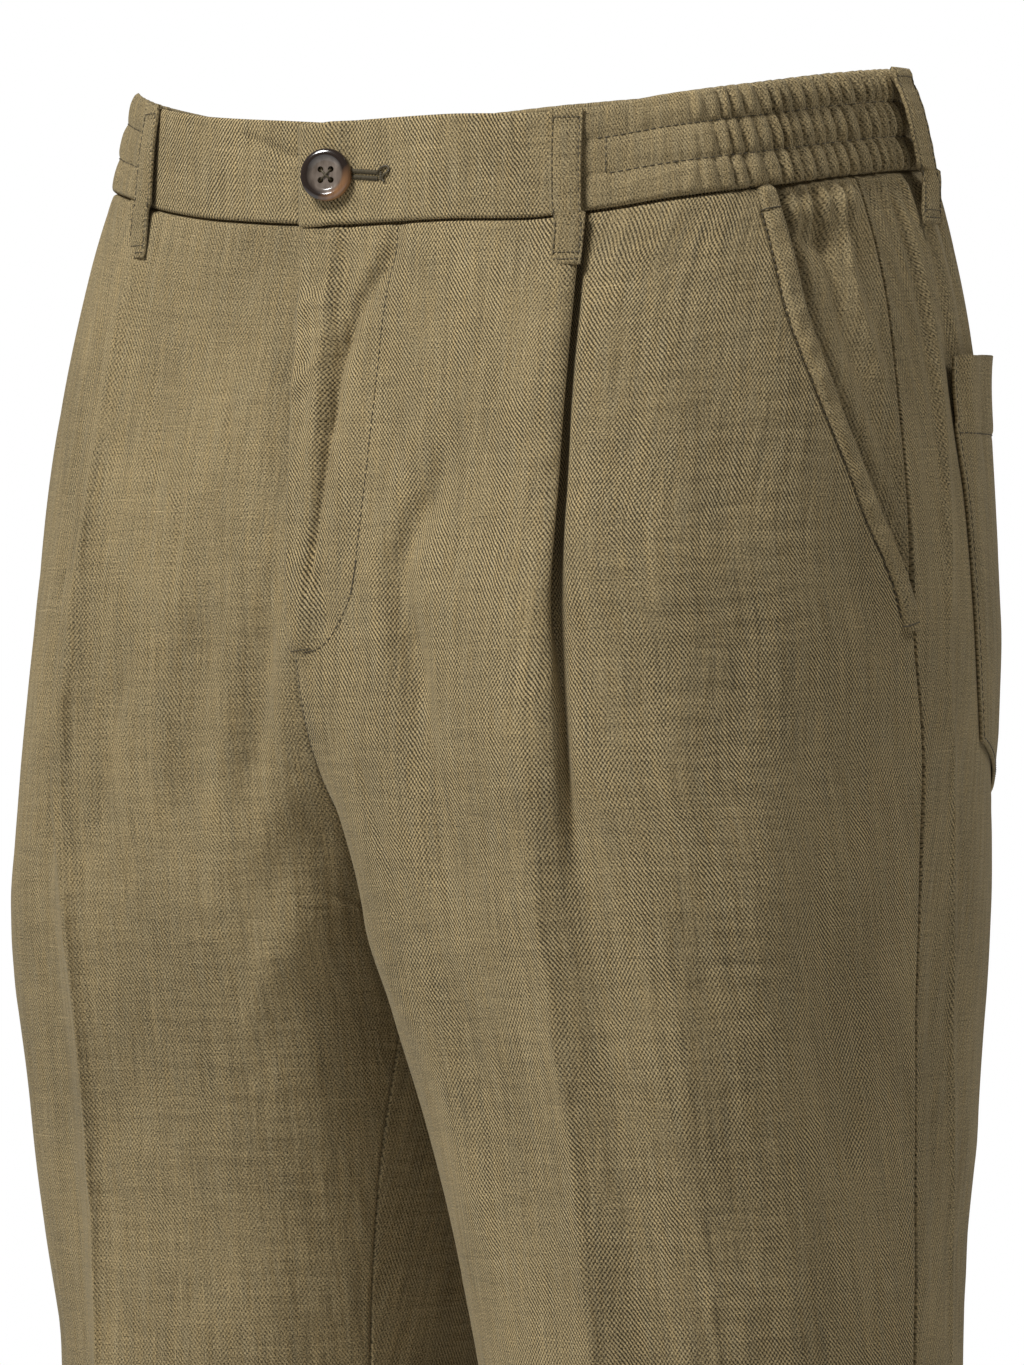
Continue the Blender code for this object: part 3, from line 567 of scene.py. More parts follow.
def folds_on(folds, places, z):
    """The lift of folds. Each is a line to measure from, a path, a half width, a depth, how much wider its far
    flank is than its near one, and its roundness: 2 for a soft fold, nearer 1 for a sharp one."""
    total = np.zeros(z.shape)
    for line, path, width, depth, flank, *roundness in folds:
        off, share, hand = off_path(places[line], z, curve_through(path, 4))
        reach = np.where(hand > 0, width * flank, width)
        fade = ease((share + 0.22) / 0.45) * ease((1.22 - share) / 0.45)
        off = np.sqrt(off * off + 0.16) - 0.4 if roundness else off
        total += depth * fade * np.exp(-((off / reach) ** (roundness[0] if roundness else 2)))
    return total


def small_folds(seed, count, line, xs, zs, lean=0.5, depth=0.35):
    """Slight creases left by wear, scattered over a stretch of a panel."""
    chance = np.random.default_rng(seed)
    made = []
    for _ in range(count):
        x, z = chance.uniform(*xs), -chance.uniform(*zs)
        size, tilt = chance.uniform(12, 60), chance.normal(0, lean)
        end = (x + size * math.sin(tilt), z - size * math.cos(tilt))
        made.append((line, ((x, z), end), chance.uniform(1.6, 5.5), chance.uniform(-depth, depth), 1.0))
    return made


def unevenness(seed, x, z, size, depth):
    """A faint waviness over the whole cloth, from a few long waves of different direction."""
    chance = np.random.default_rng(seed)
    total = np.zeros(x.shape)
    for _ in range(7):
        angle, length, phase = chance.uniform(0, math.pi), size * chance.uniform(0.7, 1.8), chance.uniform(0, 6.28)
        total += np.sin((x * math.cos(angle) + z * math.sin(angle) * 0.55) * 6.28 / length + phase)
    return total * depth / 3


def stops_to_columns(stops, counts):
    """Column places for every row, evenly spread between named stops."""
    parts = []
    for (start, end), count in zip(zip(stops, stops[1:]), counts):
        share = np.arange(count) / count
        parts.append(start[:, None] + (end - start)[:, None] * share)
    return np.concatenate([*parts, stops[-1][:, None]], axis=1)


def cloth_rows(fine, coarse):
    """Heights of a leg panel's rows: close together down to the thighs, which is what is seen from near."""
    top = (2.2, 1.1, 0.2, -0.3, -0.7, -1.1, -1.6, -2.3, -3.4, -5.0)
    upper = np.linspace(-6.6, -450, fine + 1)
    lower = np.linspace(-450, HEM, coarse + 1)
    return np.concatenate([top, upper, lower[1:]])


PANEL_THICK = 0.9
STRIP_THICK = 0.8  # the pocket facings and the turned edges of their mouths
PATCH_THICK = 1.1
LOOP_THICK = 1.5


def waist_tuck(z):
    """How far a panel's top turns in behind the waistband."""
    down = np.maximum(-z, 0)
    return -3.0 * np.exp(-((down / 0.75) ** 2)) - 0.35 * np.exp(-((down / 3) ** 2))


def into_band(lifts, z, shift=0.0):
    """A panel's lifts, with the allowance above the waist seam standing inside the waistband's own cloth."""
    return lifts + (shift - 0.9 - lifts) * ease(z / 1.0)


def seam_roll(distance, depth=2.6, width=0.5):
    """How far the cloth turns in towards a seam."""
    return -depth * np.exp(-((distance / width) ** 2))


# ---- Thread ---------------------------------------------------------------------------------------------------
# Olive polyester sewing thread. Each stitch is a short raised bead that dives into the cloth at both ends.
thread_finish, thread_shader, thread_wires = painted("thread", {"Roughness": 0.6})
thread_noise = thread_wires.noise(thread_wires.step("ShaderNodeTexCoord", out="Object"), (900, 900, 900), 1.0)
thread_tone = thread_wires.mix(thread_noise, (0.050, 0.038, 0.018, 1), (0.100, 0.078, 0.040, 1))
thread_wires.put(thread_tone, thread_shader["Base Color"])

STITCH_PITCH = 2.9
STITCH_LENGTH = 2.2
THREAD_RADIUS = 0.24


def tube(path, outs, radii, turns=5):
    """Vertices and faces of a thread along a path."""
    path, outs = np.asarray(path), np.asarray(outs)
    runs = np.gradient(path, axis=0)
    runs /= np.linalg.norm(runs, axis=1, keepdims=True).clip(1e-9)
    sides = np.cross(runs, outs)
    sides /= np.linalg.norm(sides, axis=1, keepdims=True).clip(1e-9)
    ups = np.cross(sides, runs)
    angles = np.arange(turns) * 2 * math.pi / turns
    rings = [p + r * (np.outer(np.cos(angles), s) + np.outer(np.sin(angles), u))
             for p, s, u, r in zip(path, sides, ups, radii)]
    faces = [tuple(range(turns))[::-1]]
    for k in range(len(path) - 1):
        for m in range(turns):
            n = (m + 1) % turns
            faces.append((k * turns + m, k * turns + n, (k + 1) * turns + n, (k + 1) * turns + m))
    faces.append(tuple((len(path) - 1) * turns + m for m in range(turns)))
    return np.concatenate(rings), faces


class Sewing:
    """Collects the stitches of one piece and makes them one object."""

    def __init__(self):
        self.points, self.faces, self.count = [], [], 0

    def add(self, points, faces):
        self.faces += [tuple(index + self.count for index in face) for face in faces]
        self.points.append(points)
        self.count += len(points)

    def stitch(self, ends, outs, radius=THREAD_RADIUS, sink=0.12, rise=0.16):
        a, b = np.asarray(ends, float)
        out = np.asarray(outs, float).mean(axis=0)
        high = ((0, -sink), (0.2, rise * 0.7), (0.5, rise), (0.8, rise * 0.7), (1, -sink))
        path = [a + (b - a) * share + out * lift for share, lift in high]
        self.add(*tube(path, [out] * 5, [radius * s for s in (0.45, 0.95, 1.0, 0.95, 0.45)]))

    def row(self, spot, path, pitch=STITCH_PITCH, length=STITCH_LENGTH, radius=THREAD_RADIUS):
        """A line of stitches. Spot gives the point and the outward direction at a place of the path."""
        path = curve_through(path, 12)
        dense = [a + (b - a) * t for a, b in zip(path, path[1:]) for t in np.linspace(0, 1, 6)[:-1]] + [path[-1]]
        spots = np.array([np.concatenate(spot(u, z)) for u, z in dense])
        along = np.concatenate([[0], np.cumsum(np.linalg.norm(np.diff(spots[:, :3], axis=0), axis=1))])
        count = max(1, int(round(along[-1] / pitch)))
        for k in range(count):
            middle = (k + 0.5) * along[-1] / count
            ends = np.array([[np.interp(middle + half, along, spots[:, m]) for m in range(6)]
                             for half in (-length / 2, length / 2)])
            outs = ends[:, 3:] / np.linalg.norm(ends[:, 3:], axis=1, keepdims=True)
            self.stitch(ends[:, :3], outs, radius)

    def finish(self, name):
        made = mesh_object(name, np.concatenate(self.points), self.faces, thread_finish)
        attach(made, "root")


# ---- Front panels ---------------------------------------------------------------------------------------------
# The two fronts are cut in linen with a pleat that runs down into the pressed crease. The left one laps over the
# right at the fly, and both are cut away at the slanted pocket. The pleat's cloth really doubles back on itself
# under its fold edge for the first hand's breadth, then opens into a soft groove.
pleat_profiles = Sizes(
    "step folded_at folded_lift open_at open_lift pressed_at pressed_lift",
    (
        (0, -42, 0.0, -42, 0.0, -42, 0.0),
        (1, -27, 0.5, -28, 0.9, -28, 1.0),
        (2, -16, 1.5, -17, 2.3, -17, 2.4),
        (3, -8, 2.8, -9, 3.8, -9, 3.8),
        (4, -2.5, 3.6, -4, 4.7, -3.5, 4.9),
        (5, 2.5, 3.5, -0.5, 5.0, -0.7, 5.5),
        (6, 6.0, 2.4, 3.2, 4.4, 0.7, 5.2),
        (7, 7.6, 0.8, 6.8, 3.0, 3.5, 3.5),
        (8, 6.8, -0.8, 9.8, 0.8, 7, 1.5),
        (9, 3.0, -1.6, 11.2, -3.2, 10.5, -0.4),
        (10, 1.0, -3.6, 12.2, -6.4, 14, -2.0),
        (11, 5.0, -5.9, 13.6, -4.6, 18, -3.0),
        (12, 8.7, -3.9, 16.4, -1.7, 23, -2.9),
        (13, 10.8, -1.5, 21.5, -0.8, 30, -1.9),
        (14, 20.0, -0.4, 31.0, -0.2, 38, -0.8),
        (15, 44.0, 0.0, 44.0, 0.0, 46, 0.0),
    ),
)
PLEAT_FROM, PLEAT_TO, PLEAT_COLUMNS = -42, 44, 54
WELT = 8.3  # width of the pocket mouth's turned edge
LAP_FOOT = -168.5  # where the left front stops lapping over the right
left_folds = [
    ("fly", ((13.6, -42), (11.8, -58), (10.2, -84)), 1.7, -3.0, 1.2, 1.2),
    ("fly", ((10.4, -78), (8.8, -112), (7.4, -142)), 1.0, -2.4, 1.0, 1.1),
    ("fly", ((5, -20), (5, -60), (4, -96)), 3.0, 1.5, 1.2),
    ("fly", ((33, -3), (30, -14), (23, -25), (17, -36), (13, -52)), 2.4, -3.4, 1.6, 1.3),
    ("fly", ((24, -8), (21, -20), (17, -28)), 4.0, 1.5, 1.2),
    ("fly", ((21, -50), (20, -90), (17, -132)), 5.0, 1.2, 1.3),
    ("fly", ((-9, -36), (-3, -29), (6, -31)), 2.2, 1.1, 1.2),
    ("fly", ((-9, -46), (-3, -40), (4, -41)), 1.6, -0.8, 1.2),
    ("fly", ((-8, -68), (-2, -60), (6, -54)), 2.2, 1.1, 1.2),
    ("fly", ((-8, -76), (-3, -70), (3, -66)), 1.6, -0.7, 1.2),
    ("fly", ((10, -139), (14, -150), (15, -160)), 2.2, -1.6, 1.2),
    ("crease", ((-40, -92), (-46, -108), (-54, -121), (-61, -136), (-61, -148), (-57, -164), (-51, -190)),
     5.5, -4.6, 1.3),
    ("crease", ((-52, -84), (-64, -110), (-71, -140), (-66, -180)), 6, 1.6, 1.2),
    ("crease", ((-6, -30), (-30, -84), (-56, -122)), 8, 1.5, 1.3),
    ("crease", ((-52, -152), (-48, -200), (-42, -232), (-44, -258)), 10, -3.2, 1.4),
    ("crease", ((-40, -150), (-34, -215), (-34, -300)), 10, 2.2, 1.2),
    ("crease", ((-82, -208), (-76, -232), (-70, -252)), 1.9, -1.2, 1.2, 1.3),
    ("crease", ((-64, -262), (-48, -300), (-40, -350)), 8, -1.7, 1.3),
    ("crease", ((-86, -282), (-62, -322), (-50, -390)), 9, 1.4, 1.3),
    ("crease", ((-26, -300), (-30, -360), (-26, -430)), 9, -1.3, 1.2),
    ("crease", ((30, -30), (44, -100), (52, -160)), 12, 1.1, 1.2),
    ("crease", ((56, -60), (72, -130), (80, -210)), 13, -1.6, 1.3),
    ("crease", ((40, -110), (50, -170), (54, -240)), 10, 1.2, 1.2),
    ("crease", ((92, -170), (84, -240), (88, -330)), 12, 1.4, 1.3),
    ("crease", ((60, -250), (58, -330), (62, -410)), 11, -1.4, 1.2),
    ("crease", ((104, -200), (108, -280), (100, -380)), 10, -1.3, 1.3),
    ("crease", ((-40, -520), (-20, -560), (14, -584)), 12, -2.2, 1.4),
    ("crease", ((-44, -590), (-10, -612), (30, -618)), 13, 1.7, 1.3),
    ("crease", ((44, -560), (30, -640), (36, -720)), 14, -1.7, 1.2),
    ("crease", ((-30, -700), (-26, -800), (-30, -900)), 12, 1.4, 1.3),
    ("crease", ((28, -840), (20, -900), (26, -980)), 12, -1.6, 1.3),
]
right_folds = [
    ("fly", ((14, -150), (18, -180), (25, -206), (36, -228)), 6.5, -5.6, 1.3),
    ("fly", ((8, -60), (10, -110), (9, -150)), 5.0, -1.2, 1.3),
    ("fly", ((3, -226), (20, -244), (42, -262)), 5.0, -2.0, 1.4),
    ("fly", ((22, -30), (20, -80), (18, -120)), 7, 1.0, 1.4),
    ("fly", ((36, -60), (34, -90), (30, -128)), 9, 1.4, 1.2),
    ("crease", ((-37, -56), (-38, -70), (-39.5, -98)), 1.9, -2.1, 1.2),
    ("crease", ((-65, -62), (-68, -74), (-72, -96)), 1.9, -1.9, 1.2),
    ("crease", ((-48, -98), (-50, -120), (-49, -148)), 2.2, -1.6, 1.3),
    ("crease", ((-26, -12), (-23, -28), (-21, -93), (-19.7, -131), (-15.5, -190), (-12, -262)), 1.7, 1.7, 1.0, 1.3),
    ("crease", ((-12, -258), (-11.6, -330), (-11.6, -420), (-11.6, -560)), 1.7, 1.3, 1.0, 1.3),
    ("crease", ((-30, -40), (-29, -110), (-26, -180), (-22, -262), (-21, -400)), 5.0, -1.9, 1.3),
    ("crease", ((-36, -172), (-33, -200), (-31, -240)), 2.4, -2.8, 1.4),
    ("crease", ((-44, -186), (-41, -210), (-42, -228)), 2.0, -1.0, 1.3),
    ("crease", ((-70, -120), (-64, -180), (-56, -240)), 9, -3.0, 1.4),
    ("crease", ((-46, -150), (-46, -190), (-44, -230)), 7, 1.9, 1.3),
    ("crease", ((-110, -226), (-88, -262), (-64, -320)), 9, -2.8, 1.4),
    ("crease", ((-100, -270), (-72, -312), (-58, -370)), 8, 1.9, 1.3),
    ("crease", ((-90, -300), (-60, -352), (-50, -420)), 11, -2.1, 1.3),
    ("crease", ((-20, -190), (-14, -230), (-12, -262)), 3.4, -2.0, 1.3, 1.4),
    ("crease", ((-8, -170), (-4, -230), (-6, -300)), 5.0, 1.2, 1.2),
    ("crease", ((-30, -330), (-26, -390), (-34, -440)), 10, -1.6, 1.2),
    ("crease", ((-60, -356), (-20, -366), (20, -362)), 9, 0.8, 1.2),
    ("crease", ((48, -90), (60, -170), (70, -260)), 12, -1.8, 1.3),
    ("crease", ((84, -200), (76, -280), (84, -360)), 11, 1.6, 1.2),
    ("crease", ((-36, -530), (-6, -566), (22, -580)), 12, -2.2, 1.4),
    ("crease", ((-40, -600), (-8, -620), (34, -632)), 13, 1.6, 1.3),
    ("crease", ((40, -600), (28, -680), (34, -760)), 14, -1.6, 1.2),
    ("crease", ((-26, -760), (-30, -850), (-22, -940)), 12, 1.4, 1.3),
    ("crease", ((30, -800), (24, -880), (30, -960)), 12, -1.6, 1.3),
]


def pleat_shape(z):
    """Where the pleat's cloth lies against the crease line at this height, and its lift, point by point."""
    steps = np.linspace(0, 15, PLEAT_COLUMNS + 1)
    opened, pressed = float(ease((-z - 118) / 84)), float(ease((-z - 205) / 62))

    def blended(what):
        folded, open_out, flat = (pleat_profiles(state + what, steps) for state in ("folded_", "open_", "pressed_"))
        return (1 - pressed) * ((1 - opened) * folded + opened * open_out) + pressed * flat

    deep = math.exp(-(((z + 140) / 55) ** 2)) * ease((steps - 8.5) / 2) * ease((14.5 - steps) / 3)
    return blended("at"), (blended("lift") - 2.0 * deep) * (0.30 + 0.70 * float(ease(-z / 22)))


def measured(line, zs):
    return np.array([line(z) for z in zs])


def meet_middle(points, column, us, rows):
    """In these rows a panel's edge reaches the middle, where it is sewn to its neighbour."""
    beyond = np.where(rows, points[:, column, 0], 0.0)
    near = np.clip(1 - abs(us - us[:, [column]]) / 3, 0, 1)
    points[:, :, 0] -= beyond[:, None] * near


def front_panel(side, word, finish):
    """One front. Its pleat columns are laid with their own places, so that they can pass under one another."""
    left = side > 0
    zs = cloth_rows(250, 118)
    crease, seam = measured(front_crease, zs), measured(side_seam, zs)
    outer = np.array([pocket_mouth(z) - HALF_GAP if z > FORK else side_seam(z) for z in zs])
    start = np.where(zs > LAP_FOOT, -lines("lap", zs) if left else HALF_GAP, 0.0)
    stops = [start, np.maximum(start + 2.4, 2.4), np.full(len(zs), 5.0), np.full(len(zs), 17.0)]
    stops += [crease + PLEAT_FROM, crease + PLEAT_TO, outer - 12, outer - 2.4, outer]
    counts = [6, 2, 20, 26, PLEAT_COLUMNS, 38, 14, 8]
    us = stops_to_columns(stops, counts)
    first = sum(counts[:4])
    pleat = slice(first, first + PLEAT_COLUMNS + 1)
    ls, lifts = us.copy(), np.zeros(us.shape)
    for i, z in enumerate(zs):
        at, lifts[i, pleat] = pleat_shape(z)
        ls[i, pleat] = crease[i] + at
    z = np.repeat(zs[:, None], us.shape[1], axis=1)
    from_start, from_crease, to_edge = us - start[:, None], us - crease[:, None], outer[:, None] - us
    places = {"fly": us, "crease": from_crease, "side": us - seam[:, None]}
    calm = np.where(z < FORK, ease(from_start / 14), 1.0)
    lifts += folds_on(left_folds if left else right_folds, places, z) * calm
    steps = np.hypot(np.diff(ls, axis=1), np.diff(lifts, axis=1))
    across = np.concatenate([np.zeros((len(zs), 1)), np.cumsum(steps, axis=1)], axis=1)
    across -= across[:, first + 18][:, None]
    folds = small_folds(15 if left else 16, 30, "side", (-64, -6), (190, 450), lean=0.06, depth=0.6)
    folds += small_folds(11 if left else 12, 70, "crease", (-95, 110), (30, 430))
    folds += small_folds(13 if left else 14, 36, "crease", (-60, 80), (430, 960), depth=0.5)
    lifts += folds_on(folds, places, z) * calm
    lifts += unevenness(21 if left else 22, from_crease, z, 46, 0.32) + waist_tuck(z)
    lifts += np.where(z > FORK, 0.9 * ease((16 - to_edge) / 16), seam_roll(to_edge))
    lifts += seam_roll(from_start, np.where(z > LAP_FOOT, 0.9, 0.6), 0.9)
    lifts -= 0.9 * np.exp(-(((to_edge - WELT) / 0.7) ** 2)) * ease((z + 158) / 6) * ease((-z - 4) / 6)
    if left:
        lifts += 2.8 * ease((z + 172) / 10) * ease((11.5 - us) / 7)
    lifts = into_band(lifts, z, 3.9 * ease((15 - us) / 14) if left else -2.0 * ease((25 - us) / 18))
    points = lay(zs, ls, lifts, side)
    meet_middle(points, 0, us, (zs < LAP_FOOT) & (zs > CROTCH))
    cut_and_sewn(f"linen_front_{word}", points, side, finish, PANEL_THICK, node=f"front_{word}",
                 uv=np.stack([across, z], axis=2))
    return Panel(zs, us, points, side)


linen_left = linen("linen_left_leg", 3.0)
linen_right = linen("linen_right_leg", 417.0, 0.5, -1.0)
left_front = front_panel(1, "left", linen_left)
right_front = front_panel(-1, "right", linen_right)

# The fly is held by one curved row of stitches through the left front, with a bar tack where it turns in.
fly_line = ((32.8, -1.5), (30.7, -39), (29.9, -84), (28.7, -115), (27.5, -143), (23.6, -154), (17, -163), (11, -167))
fly_seam = Sewing()
fly_seam.row(left_front.at, fly_line)
fly_seam.row(left_front.at, ((11, -167), (5.5, -168)), pitch=1.2, length=1.1)
fly_seam.row(left_front.at, ((28.4, -134), (27.2, -147)), pitch=0.8, length=1.0, radius=0.3)
fly_seam.row(left_front.at, ((8.5, -166.5), (-1.2, -167.6)), pitch=0.9, length=1.0, radius=0.2)
fly_seam.row(left_front.at, ((1.1, -170), (1.1, -200), (1.1, -236)), pitch=2.4, length=1.7)
fly_seam.finish("stitches_fly")


# ---- Back panels ----------------------------------------------------------------------------------------------
# The two backs are gathered into the elastic at the waist, so they hang in fine flutes that fade out over the
# seat. Each has a soft crease down its middle and folds under the seat and behind the knee.
back_folds = {
    1: [
        ("side", ((19, -4), (24, -23), (28.6, -72), (27.4, -112), (24, -160)), 2.4, 2.4, 1.5, 1.3),
        ("side", ((23, -196), (25.6, -270), (28, -334), (31, -420)), 1.9, 1.7, 1.3, 1.3),
        ("side", ((12, -4), (13, -60), (15, -130)), 3.2, -1.4, 1.3),
        ("side", ((38, -3), (44, -30), (45, -90)), 3.4, -1.8, 1.3),
        ("side", ((10, -250), (11, -330), (13, -410)), 4.0, -1.0, 1.3),
        ("crease", ((110, -244), (70, -262), (30, -300)), 11, -2.8, 1.4),
        ("crease", ((90, -236), (30, -246), (-30, -270)), 10, -2.0, 1.3),
        ("crease", ((96, -266), (60, -300), (30, -350)), 10, 1.8, 1.3),
        ("crease", ((70, -300), (40, -350), (20, -420)), 13, -2.4, 1.4),
        ("crease", ((-60, -230), (-70, -300), (-64, -380)), 13, 1.3, 1.3),
        ("crease", ((-40, -320), (-50, -400), (-44, -470)), 12, -1.5, 1.3),
        ("crease", ((40, -548), (0, -566), (-50, -590)), 12, -2.4, 1.4),
        ("crease", ((50, -572), (10, -590), (-40, -612)), 9, 1.8, 1.3),
        ("crease", ((44, -600), (0, -622), (-46, -640)), 12, -2.0, 1.3),
        ("crease", ((-40, -660), (-20, -740), (-30, -820)), 13, 1.3, 1.2),
        ("crease", ((30, -800), (24, -880), (28, -960)), 12, -1.5, 1.3),
        ("side", ((30, -220), (26, -320), (34, -420)), 14, -1.3, 1.3),
    ],
    -1: [
        ("side", ((16, -46), (18, -90), (26, -150)), 7, 1.5, 1.3),
        ("crease", ((112, -240), (66, -266), (26, -312)), 11, -2.7, 1.4),
        ("crease", ((84, -232), (26, -250), (-20, -262)), 10, -2.1, 1.3),
        ("crease", ((92, -262), (56, -304), (24, -362)), 10, 1.7, 1.3),
        ("crease", ((66, -306), (34, -362), (22, -436)), 12, -2.2, 1.4),
        ("crease", ((-64, -240), (-60, -320), (-70, -400)), 13, 1.3, 1.3),
        ("crease", ((44, -556), (6, -578), (-40, -594)), 12, -2.4, 1.4),
        ("crease", ((46, -580), (4, -602), (-44, -620)), 9, 1.7, 1.3),
        ("crease", ((40, -612), (0, -640), (-40, -652)), 12, -1.9, 1.3),
        ("crease", ((-34, -680), (-24, -760), (-34, -850)), 13, 1.4, 1.2),
        ("crease", ((26, -760), (20, -850), (30, -930)), 12, -1.4, 1.3),
        ("side", ((34, -230), (40, -310), (30, -400)), 14, -1.4, 1.3),
    ],
}
GATHER_PITCH = 7.2  # from one puff of the elastic to the next


def gathers(seed, share, count, z, strength=1.0):
    """Flutes that hang from the elastic. Each has its own depth and its own length, and neighbours merge."""
    chance = np.random.default_rng(seed)
    index = share * count
    knots = np.arange(count + 2)
    depth = np.interp(index, knots, chance.uniform(0.7, 1.45, count + 2))
    fade = np.interp(index, knots, chance.uniform(10, 34, count + 2))
    slide = np.interp(index, knots, chance.uniform(-0.22, 0.22, count + 2)) * np.minimum(-z / 30, 1)
    fine = np.cos(2 * math.pi * (index + slide)) * depth * np.exp(z / fade)
    wide_fade = np.interp(index / 2.6, knots, chance.uniform(34, 80, count + 2))
    wide_depth = np.interp(index / 2.6, knots, chance.uniform(0.7, 1.7, count + 2))
    phase = np.interp(index, knots, np.cumsum(chance.uniform(0.28, 0.5, count + 2)))
    wide = np.cos(2 * math.pi * phase) * wide_depth * np.exp(z / wide_fade) * (1 - np.exp(z / 12))
    return strength * (fine + wide)


def back_panel(side, word, finish):
    left = side > 0
    zs = cloth_rows(244, 112)
    start, crease = measured(side_seam, zs), measured(back_crease, zs)
    end = np.array([outline(z).length for z in zs])
    stops = [start, start + 2.4, start + 10, start + 52, crease - 7, crease + 7, end - 8, end - 2.4, end]
    us = stops_to_columns(stops, [9, 5, 28, 55, 8, 54, 4, 6])
    z = np.repeat(zs[:, None], us.shape[1], axis=1)
    from_seam, from_crease, to_end = us - start[:, None], us - crease[:, None], end[:, None] - us
    lifts = gathers(31 if left else 32, from_seam / (end - start)[:, None], 30, z, 1.5)
    lifts *= ease((z + 150) / 60) * ease((-z - 0.6) / 5) * ease(from_seam / 7)
    lifts += ease((-z - 90) / 160) * 3.2 * np.exp(-np.abs(from_crease) / 12)
    folds = back_folds[side] + small_folds(33 if left else 34, 60, "crease", (-130, 110), (60, 430))
    folds += small_folds(35 if left else 36, 34, "crease", (-70, 70), (430, 960), depth=0.5)
    lifts += folds_on(folds, {"side": from_seam, "crease": from_crease}, z) * ease(to_end / 16)
    lifts += unevenness(41 if left else 42, from_crease, z, 50, 0.32)
    lifts += waist_tuck(z) + seam_roll(from_seam) + seam_roll(to_end)
    lifts = into_band(lifts, z, -1.2 * ease((us - 284) / 22))
    points = lay(zs, us, lifts, side)
    meet_middle(points, -1, us, zs > CROTCH)
    cut_and_sewn(f"linen_back_{word}", points, side, finish, PANEL_THICK, node=f"back_{word}",
                 uv=np.stack([from_crease, z], axis=2))
    return Panel(zs, from_seam, points, side)


left_back = back_panel(1, "left", linen("linen_left_seat", 61.0, 0.5))
right_back = back_panel(-1, "right", linen_right)


# ---- Slanted side pockets -------------------------------------------------------------------------------------
# Behind each mouth shows the facing, sewn into the side seam and the waist. The mouth itself is the front's edge
# turned back and stitched down 8 mm in, with a bar tack at each end, so it stands a little proud and ripples.
facing_folds = (
    ("mouth", ((6, -19), (18, -23), (28, -21)), 3.4, -2.9, 1.5, 1.5),
    ("mouth", ((9, -30), (24, -44), (34, -70)), 5.0, 1.0, 1.4),
    ("mouth", ((6, -50), (10, -80), (12, -110)), 4.0, 0.9, 1.4),
)


def side_pocket(side, word, finish, front):
    zs = np.concatenate([(2.2, 1.1, 0.2, -0.3, -0.7, -1.1, -1.6, -2.5), np.linspace(-3.8, FORK, 101)])
    mouth, seam = measured(pocket_mouth, zs), measured(side_seam, zs)
    us = stops_to_columns([mouth - 7, mouth + 1, seam - 2.4, seam], [4, 44, 8])
    z = np.repeat(zs[:, None], us.shape[1], axis=1)
    in_mouth, to_seam = us - mouth[:, None], seam[:, None] - us
    near = ease(in_mouth / 7) * ease(to_seam / 6)
    lifts = 2.6 * ease((in_mouth - 1) / 16) - 4.6 + 1.6 * ease((in_mouth - 14) / 20)
    lifts *= 0.25 + 0.75 * ease(to_seam / 7)
    flutes = gathers(51 if side > 0 else 52, np.clip(in_mouth / 50, 0, 1), 6, z, 2.5)
    lifts += flutes * near * ease((-z - 0.6) / 4) + 2.6 * near * np.exp(-(((z + 8) / 6) ** 2))
    lifts += folds_on(facing_folds, {"mouth": in_mouth}, z)
    lifts = into_band(lifts + waist_tuck(z) + seam_roll(to_seam), z)
    grain = np.stack([us - measured(front_crease, zs)[:, None], z], axis=2)
    cut_and_sewn(f"linen_facing_{word}", lay(zs, us, lifts, side), side, finish, STRIP_THICK,
                 node=f"pocket_facing_{word}",
                 uv=grain)

    zs = np.linspace(-0.6, FORK + 0.4, 141)
    rows = []
    for k, z in enumerate(zs):
        rows.append([])
        for share in np.linspace(0, 1, 13):
            u = pocket_mouth(z) - HALF_GAP - (WELT - 0.7) * (1 - share)
            ripple = math.sin(k * 0.5 + 2.2 * share + 1.6 * math.sin(k * 0.13)) * (0.25 + 0.35 * k / len(zs))
            raised = 0.2 + 1.5 * float(ease(share / 0.3)) - 0.4 * float(ease((share - 0.85) / 0.15))
            rows[-1].append(front.at(u, z, raised + ripple * math.sin(math.pi * share))[0])
    cut_and_sewn(f"linen_mouth_{word}", np.array(rows), side, finish, STRIP_THICK, node=f"pocket_welt_{word}")

    def on_mouth(off, z):
        return front.at(pocket_mouth(z) - off, z, 0.15 if off > WELT - 1 else 1.6)

    sewing = Sewing()
    sewing.row(on_mouth, ((WELT, -9), (WELT, -50), (WELT, -100), (WELT, -156)))
    for top, low in ((-8.6, -8.2), (-158.6, -157)):
        sewing.row(on_mouth, ((WELT, top), (0.6, low)), pitch=0.8, length=1.0, radius=0.3)
    sewing.finish(f"stitches_mouth_{word}")


side_pocket(1, "left", linen("linen_left_pocket", 211.0, 0.5), left_front)
side_pocket(-1, "right", linen("linen_right_pocket", 655.0, 0.5, -1.0), right_front)


# ---- Patch pockets --------------------------------------------------------------------------------------------
# One pointed patch on each back, with a 25 mm hem along its top. It is stitched down close to its edge, and its
# mouth gapes.
PATCH_WIDTH, PATCH_TOP, PATCH_FOOT, PATCH_POINT = 130.0, -64.0, -201.0, -222.0
PATCH_HEM = 25.0
PATCH_SEAM = 2.2  # from the edge in to its row of stitches


def patch_place(share, down):
    """The place on the back panel of a share across the patch and a share down it."""
    foot = PATCH_FOOT + (PATCH_POINT - PATCH_FOOT) * (1 - abs(2 * share - 1))
    z = PATCH_TOP + (foot - PATCH_TOP) * down
    return 40 + (PATCH_TOP - max(z, PATCH_FOOT)) * 0.11 + PATCH_WIDTH * share, z


